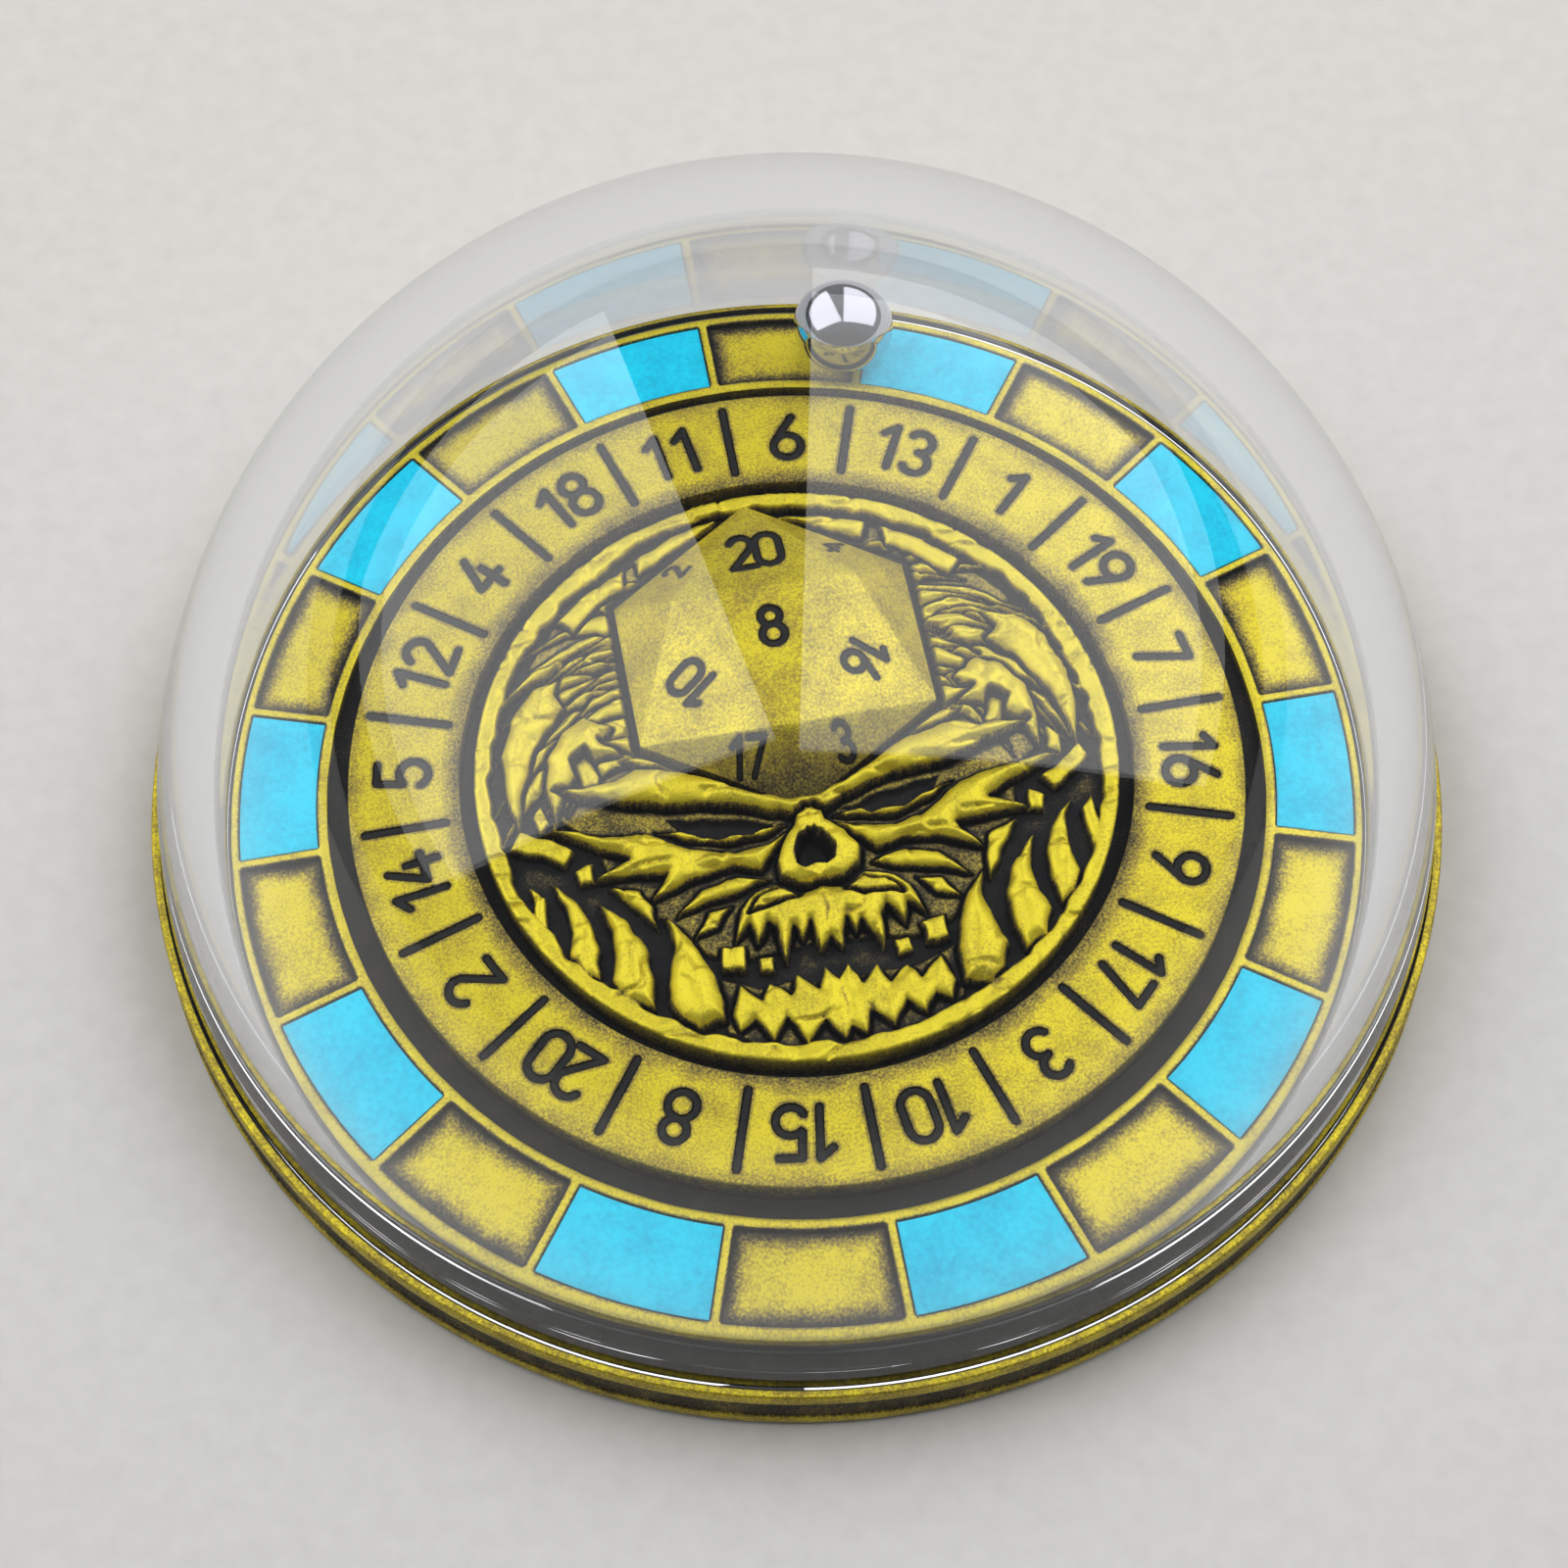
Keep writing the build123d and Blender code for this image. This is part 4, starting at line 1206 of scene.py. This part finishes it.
crestOutline, crestFaces, crestLevels = crestPlanes()


def crestSurface(x, y):
    z = np.full(np.shape(x), 99.0)
    for nx, ny, d in crestLevels:
        z = softMin(z, d - nx * x - ny * y, crest["soften"])
    return z


def crestGroups():
    return [(numberLines(value, height, x, crest["centreY"] + y, turn), height * crest["strokeRatio"] / 2)
            for value, x, y, turn, height in crestFigures]


def makeCrest():
    c = crest
    groups = crestGroups()
    outline = np.array([p[:2] for p in crestOutline])
    middle = np.array([0, c["centreY"]])
    rim = np.vstack([outline[k] + (outline[(k + 1) % 6] - outline[k]) * t for k in range(6)
                     for t in np.linspace(0, 1, 24, endpoint=False)])
    loops = [rim, middle + (rim - middle) * 0.992]
    # lines beside each edge of the faces keep the softened edges narrow
    for p, q, s in crestFaces:
        centre = (p + q + s)[:2] / 3
        corners = np.array([p[:2], q[:2], s[:2]])
        shrunk = centre + (corners - centre) * 0.975
        loops.append(np.vstack([shrunk[k] + (shrunk[(k + 1) % 3] - shrunk[k]) * t for k in range(3)
                                for t in np.linspace(0, 1, 16, endpoint=False)]))
    for lines, half in groups:
        for line in lines:
            for h in (half, half + c["slope"], half + c["halo"]):
                loops += strokeEdges(line, h)
    across = np.arange(-c["radius"], c["radius"], c["gridMm"])
    gx, gy = np.meshgrid(across, across + c["centreY"])
    loops += [np.array([[x, y]]) for x, y in zip(gx.ravel(), gy.ravel())]
    points, faces = triangulate(loops)
    middles = points[np.array(faces)].mean(1)
    inside = insideBy(outline, middles[:, 0], middles[:, 1])
    faces = [f for f, d in zip(faces, inside) if d > 0]

    def beyond(p):
        best = np.full(len(p), 9.0)
        for lines, half in groups:
            best = np.minimum(best, distanceTo(lines, p) - half)
        return best
    d = beyond(points)
    z = crestSurface(*points.T) - c["depth"] * (1 - np.clip(d / c["slope"], 0, 1))
    made = meshObject("crestDie", [(x, y, h) for (x, y), h in zip(points, z)], faces, castBrass)
    work = bmesh.new()
    work.from_mesh(made.data)
    dropLoose(work)
    closeBelow(work, (floorLevel + medallion["field"] - c["rooted"]) * mm, c["centreY"] * mm)
    work.to_mesh(made.data)
    work.free()
    tidyMesh(made, smooth=30)

    def rule(x, y, z):
        p = np.column_stack([x, y])
        d = beyond(p)
        grime = np.clip(1 - d / c["halo"], 0, 1) * 0.4
        groove = np.where(d < c["slope"] * 0.6, 0.95, 0)
        side = np.where(z < crestSurface(x, y) - 0.15, 0.8, 0)
        # painted shade: the die grows darker towards its lowest corner
        foot = np.clip((4.5 - (y - c["centreY"] + c["radius"])) / 8, 0, 0.42)
        return np.maximum.reduce([grime, groove, np.where(d < 0.1, 0, side), foot]) + 0.15
    paintPatina(made, rule)
    return made


crestDie = makeCrest()
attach(crestDie, "housing")
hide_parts("medallion")


def makeCrestPaint():
    c = crest
    top, low = -c["paintBelow"], 0.01 - c["depth"]
    parts = [inlay("crestFigure", lines, half - 0.005, top, low, surface=crestSurface)
             for lines, half in crestGroups()]
    work = bmesh.new()
    for part in parts:
        work.from_mesh(part.data)
    made = meshObject("crestPaint", [], [])
    work.to_mesh(made.data)
    work.free()
    made.data.materials.append(blackPaint)
    for part in parts:
        bpy.data.objects.remove(part)
    return tidyMesh(made, smooth=50)


crestPaint = makeCrestPaint()
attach(crestPaint, "housing")
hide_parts("crest_infill")
print("crest made", len(crestDie.data.polygons))


dome = {"wall": 3.3, "centre": domeFoot, "chamfer": 0.18, "rows": 96, "steps": 288}


def makeDome():
    d = dome
    inner = domeRadius - d["wall"]
    start = math.asin(d["chamfer"] / domeRadius)
    outer = [(domeRadius * math.cos(a), d["centre"] + domeRadius * math.sin(a))
             for a in np.linspace(start, math.pi / 2, d["rows"])]
    outer[-1] = (0, domeTop)
    hollow = [(inner * math.cos(a), d["centre"] + inner * math.sin(a))
              for a in np.linspace(math.pi / 2, start, d["rows"])]
    hollow[0] = (0, d["centre"] + inner)
    foot = [(inner + d["chamfer"], d["centre"]), (domeRadius - d["chamfer"], d["centre"])]
    return lathe("acrylicDome", outer + hollow + foot, d["steps"], clearAcrylic, smooth=30)


acrylicDome = makeDome()
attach(acrylicDome, "housing")
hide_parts("dome")


glueBead = {"inset": 0.1, "edge": 0.05, "creepMm": 0.08, "creepScaleMm": 2.5, "creepBand": 0.6, "steps": 360}


def makeGlueLine():
    # a flattened bead that has crept a little unevenly under the foot
    g = glueBead
    inner = domeRadius - dome["wall"]
    outer = sealRadius - g["edge"]
    made = lathe("glueLine", rounded([
        (inner + g["inset"], seatLevel), (outer, seatLevel), (outer, sealTop), (inner + g["inset"], sealTop)],
        g["edge"]), g["steps"], blackGlue)
    for v in made.data.vertices:
        x, y, z = v.co / mm
        r = math.hypot(x, y)
        if r < inner + g["creepBand"]:
            stray = float(noise(np.array(x), np.array(y), g["creepScaleMm"], 31))
            creep = stray * g["creepMm"] + g["creepMm"]
            v.co.x *= 1 + creep / r
            v.co.y *= 1 + creep / r
    return tidyMesh(made)


glueLine = makeGlueLine()
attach(glueLine, "housing")
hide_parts("dome_seal")

ballMesh = {"cuts": 28}


def makeBall():
    # a cube's faces drawn out onto the ball, so it has no poles
    work = bmesh.new()
    bmesh.ops.create_cube(work, size=2)
    bmesh.ops.subdivide_edges(work, edges=work.edges[:], cuts=ballMesh["cuts"], use_grid_fill=True)
    centre = (ballLow + ballHigh) / 2
    radius = (ballHigh.z - ballLow.z) / 2
    for v in work.verts:
        even = Vector([math.tan(c * math.pi / 4) for c in v.co])
        v.co = centre + even.normalized() * radius
    mesh = bpy.data.meshes.new("steelBall")
    work.to_mesh(mesh)
    work.free()
    made = bpy.data.objects.new("steelBall", mesh)
    bpy.context.scene.collection.objects.link(made)
    mesh.materials.append(bearingSteel)
    finishMesh(made, 180)
    return made


steelBall = makeBall()
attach(steelBall, "ball")
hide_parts("ball")

feltPad = {
    "edge": 0.22, "border": 0.5, "rings": 40, "steps": 420, "lumpMm": 0.05, "lumpScaleMm": 0.9,
    "skinTop": 0.3, "frayMm": 0.12, "frayBand": 0.3,
}


def makeFeltPad():
    f = feltPad
    flat = padRadius - f["border"]
    rings = list(np.linspace(0, flat, f["rings"]))
    under = [(r, padLow) for r in rings]
    edge = rounded([(flat, padLow, 0), (padRadius, padLow), (padRadius, padTop), (flat, padTop, 0)],
                   f["edge"], 6)
    made = lathe("feltPad", under + edge[1:] + [(0, padTop)], f["steps"], blackFelt)
    for v in made.data.vertices:
        x, y, z = v.co / mm
        lump = float(noise(np.array(x + 3 * z), np.array(y), f["lumpScaleMm"], 41)) * 0.5 + 0.5
        if z < f["skinTop"]:
            v.co.z = min(v.co.z + lump * f["lumpMm"] * mm, f["skinTop"] * mm)
        r = math.hypot(x, y)
        if r > padRadius - f["frayBand"]:
            v.co.x *= 1 - f["frayMm"] * lump / r
            v.co.y *= 1 - f["frayMm"] * lump / r
    finishMesh(made, 60)
    return made


blackPad = makeFeltPad()
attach(blackPad, "housing")
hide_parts("base_pad")
print("dome, glue line, ball and felt made")


studio = {
    "world": "#9A9DA4", "worldStrength": 0.22, "floorSize": 4.0,
    "boardDark": "#CFCDC8", "boardLight": "#D8D6D1",
    "lightHeight": 0.4, "lightWide": 1.5, "lightDeep": 1.6, "watts": 12.0,
    "elevation": 62.07, "turn": 10.5, "distance": 0.269, "lens": 102.96, "shiftX": -0.0081, "shiftY": 0.005,
}
# each soft light: its inner near corner, which way it reaches, and its turn in degrees
softLights = [("softboxLeft", -0.05, -0.13, -1, 9.0), ("softboxRight", -0.025, -0.15, 1, -12.0)]


def mattBoard():
    # pale uncoated board: matt, with a faint fibre
    material, tree = newMaterial("paleMattBoard")
    place = add(tree, "ShaderNodeTexCoord").outputs["Object"]
    fibre = add(tree, "ShaderNodeTexNoise", {"Vector": place, "Scale": 1 / (1.5 * mm), "Detail": 3.0})
    tone = add(tree, "ShaderNodeValToRGB", {"Fac": fibre.outputs["Fac"]}, [
        (0.2, colour(studio["boardDark"])), (0.8, colour(studio["boardLight"]))])
    shader = add(tree, "ShaderNodeBsdfPrincipled", {
        "Base Color": tone.outputs[0], "Roughness": 0.8, "IOR": 1.45})
    add(tree, "ShaderNodeOutputMaterial", {"Surface": shader.outputs[0]})
    return material


def makeFloor():
    half = studio["floorSize"] / 2
    floor = meshObject("paleFloor", [(x / mm, y / mm, 0) for x, y in
                       ((-half, -half), (half, -half), (half, half), (-half, half))], [(0, 1, 2, 3)])
    floor.data.materials.append(mattBoard())


def makeRoom():
    world = bpy.data.worlds.new("softRoom")
    world.use_nodes = True
    world.node_tree.nodes.clear()
    sky = add(world.node_tree, "ShaderNodeBackground", {
        "Color": colour(studio["world"]), "Strength": studio["worldStrength"]})
    add(world.node_tree, "ShaderNodeOutputWorld", {"Surface": sky.outputs[0]})
    bpy.context.scene.world = world


def makeLights():
    s = studio
    for name, x, y, side, turn in softLights:
        light = bpy.data.lights.new(name, "AREA")
        light.shape = "RECTANGLE"
        light.size, light.size_y = s["lightWide"], s["lightDeep"]
        light.energy = s["watts"]
        holder = bpy.data.objects.new(name, light)
        a = math.radians(turn)
        u, v = side * s["lightWide"] / 2, s["lightDeep"] / 2
        holder.location = (x + u * math.cos(a) - v * math.sin(a), y + u * math.sin(a) + v * math.cos(a),
                           s["lightHeight"])
        holder.rotation_euler = (0, 0, a)
        bpy.context.scene.collection.objects.link(holder)


def makeCamera():
    s = studio
    aim = Vector((0, 0, dome["centre"] * mm))
    up, sideways = math.radians(s["elevation"]), math.radians(s["turn"])
    away = Vector((-math.sin(sideways) * math.cos(up), -math.cos(sideways) * math.cos(up), math.sin(up)))
    lens = bpy.data.cameras.new("studioCamera")
    lens.lens = s["lens"]
    lens.sensor_width = 36
    lens.shift_x, lens.shift_y = s["shiftX"], s["shiftY"]
    lens.clip_start = 0.01
    camera = bpy.data.objects.new("studioCamera", lens)
    camera.location = aim + away * s["distance"]
    camera.rotation_euler = (-away).to_track_quat("-Z", "Y").to_euler()
    bpy.context.scene.collection.objects.link(camera)
    bpy.context.scene.camera = camera


bpy.context.scene.view_settings.view_transform = "Standard"
makeFloor()
makeRoom()
makeLights()
makeCamera()
print("studio ready")
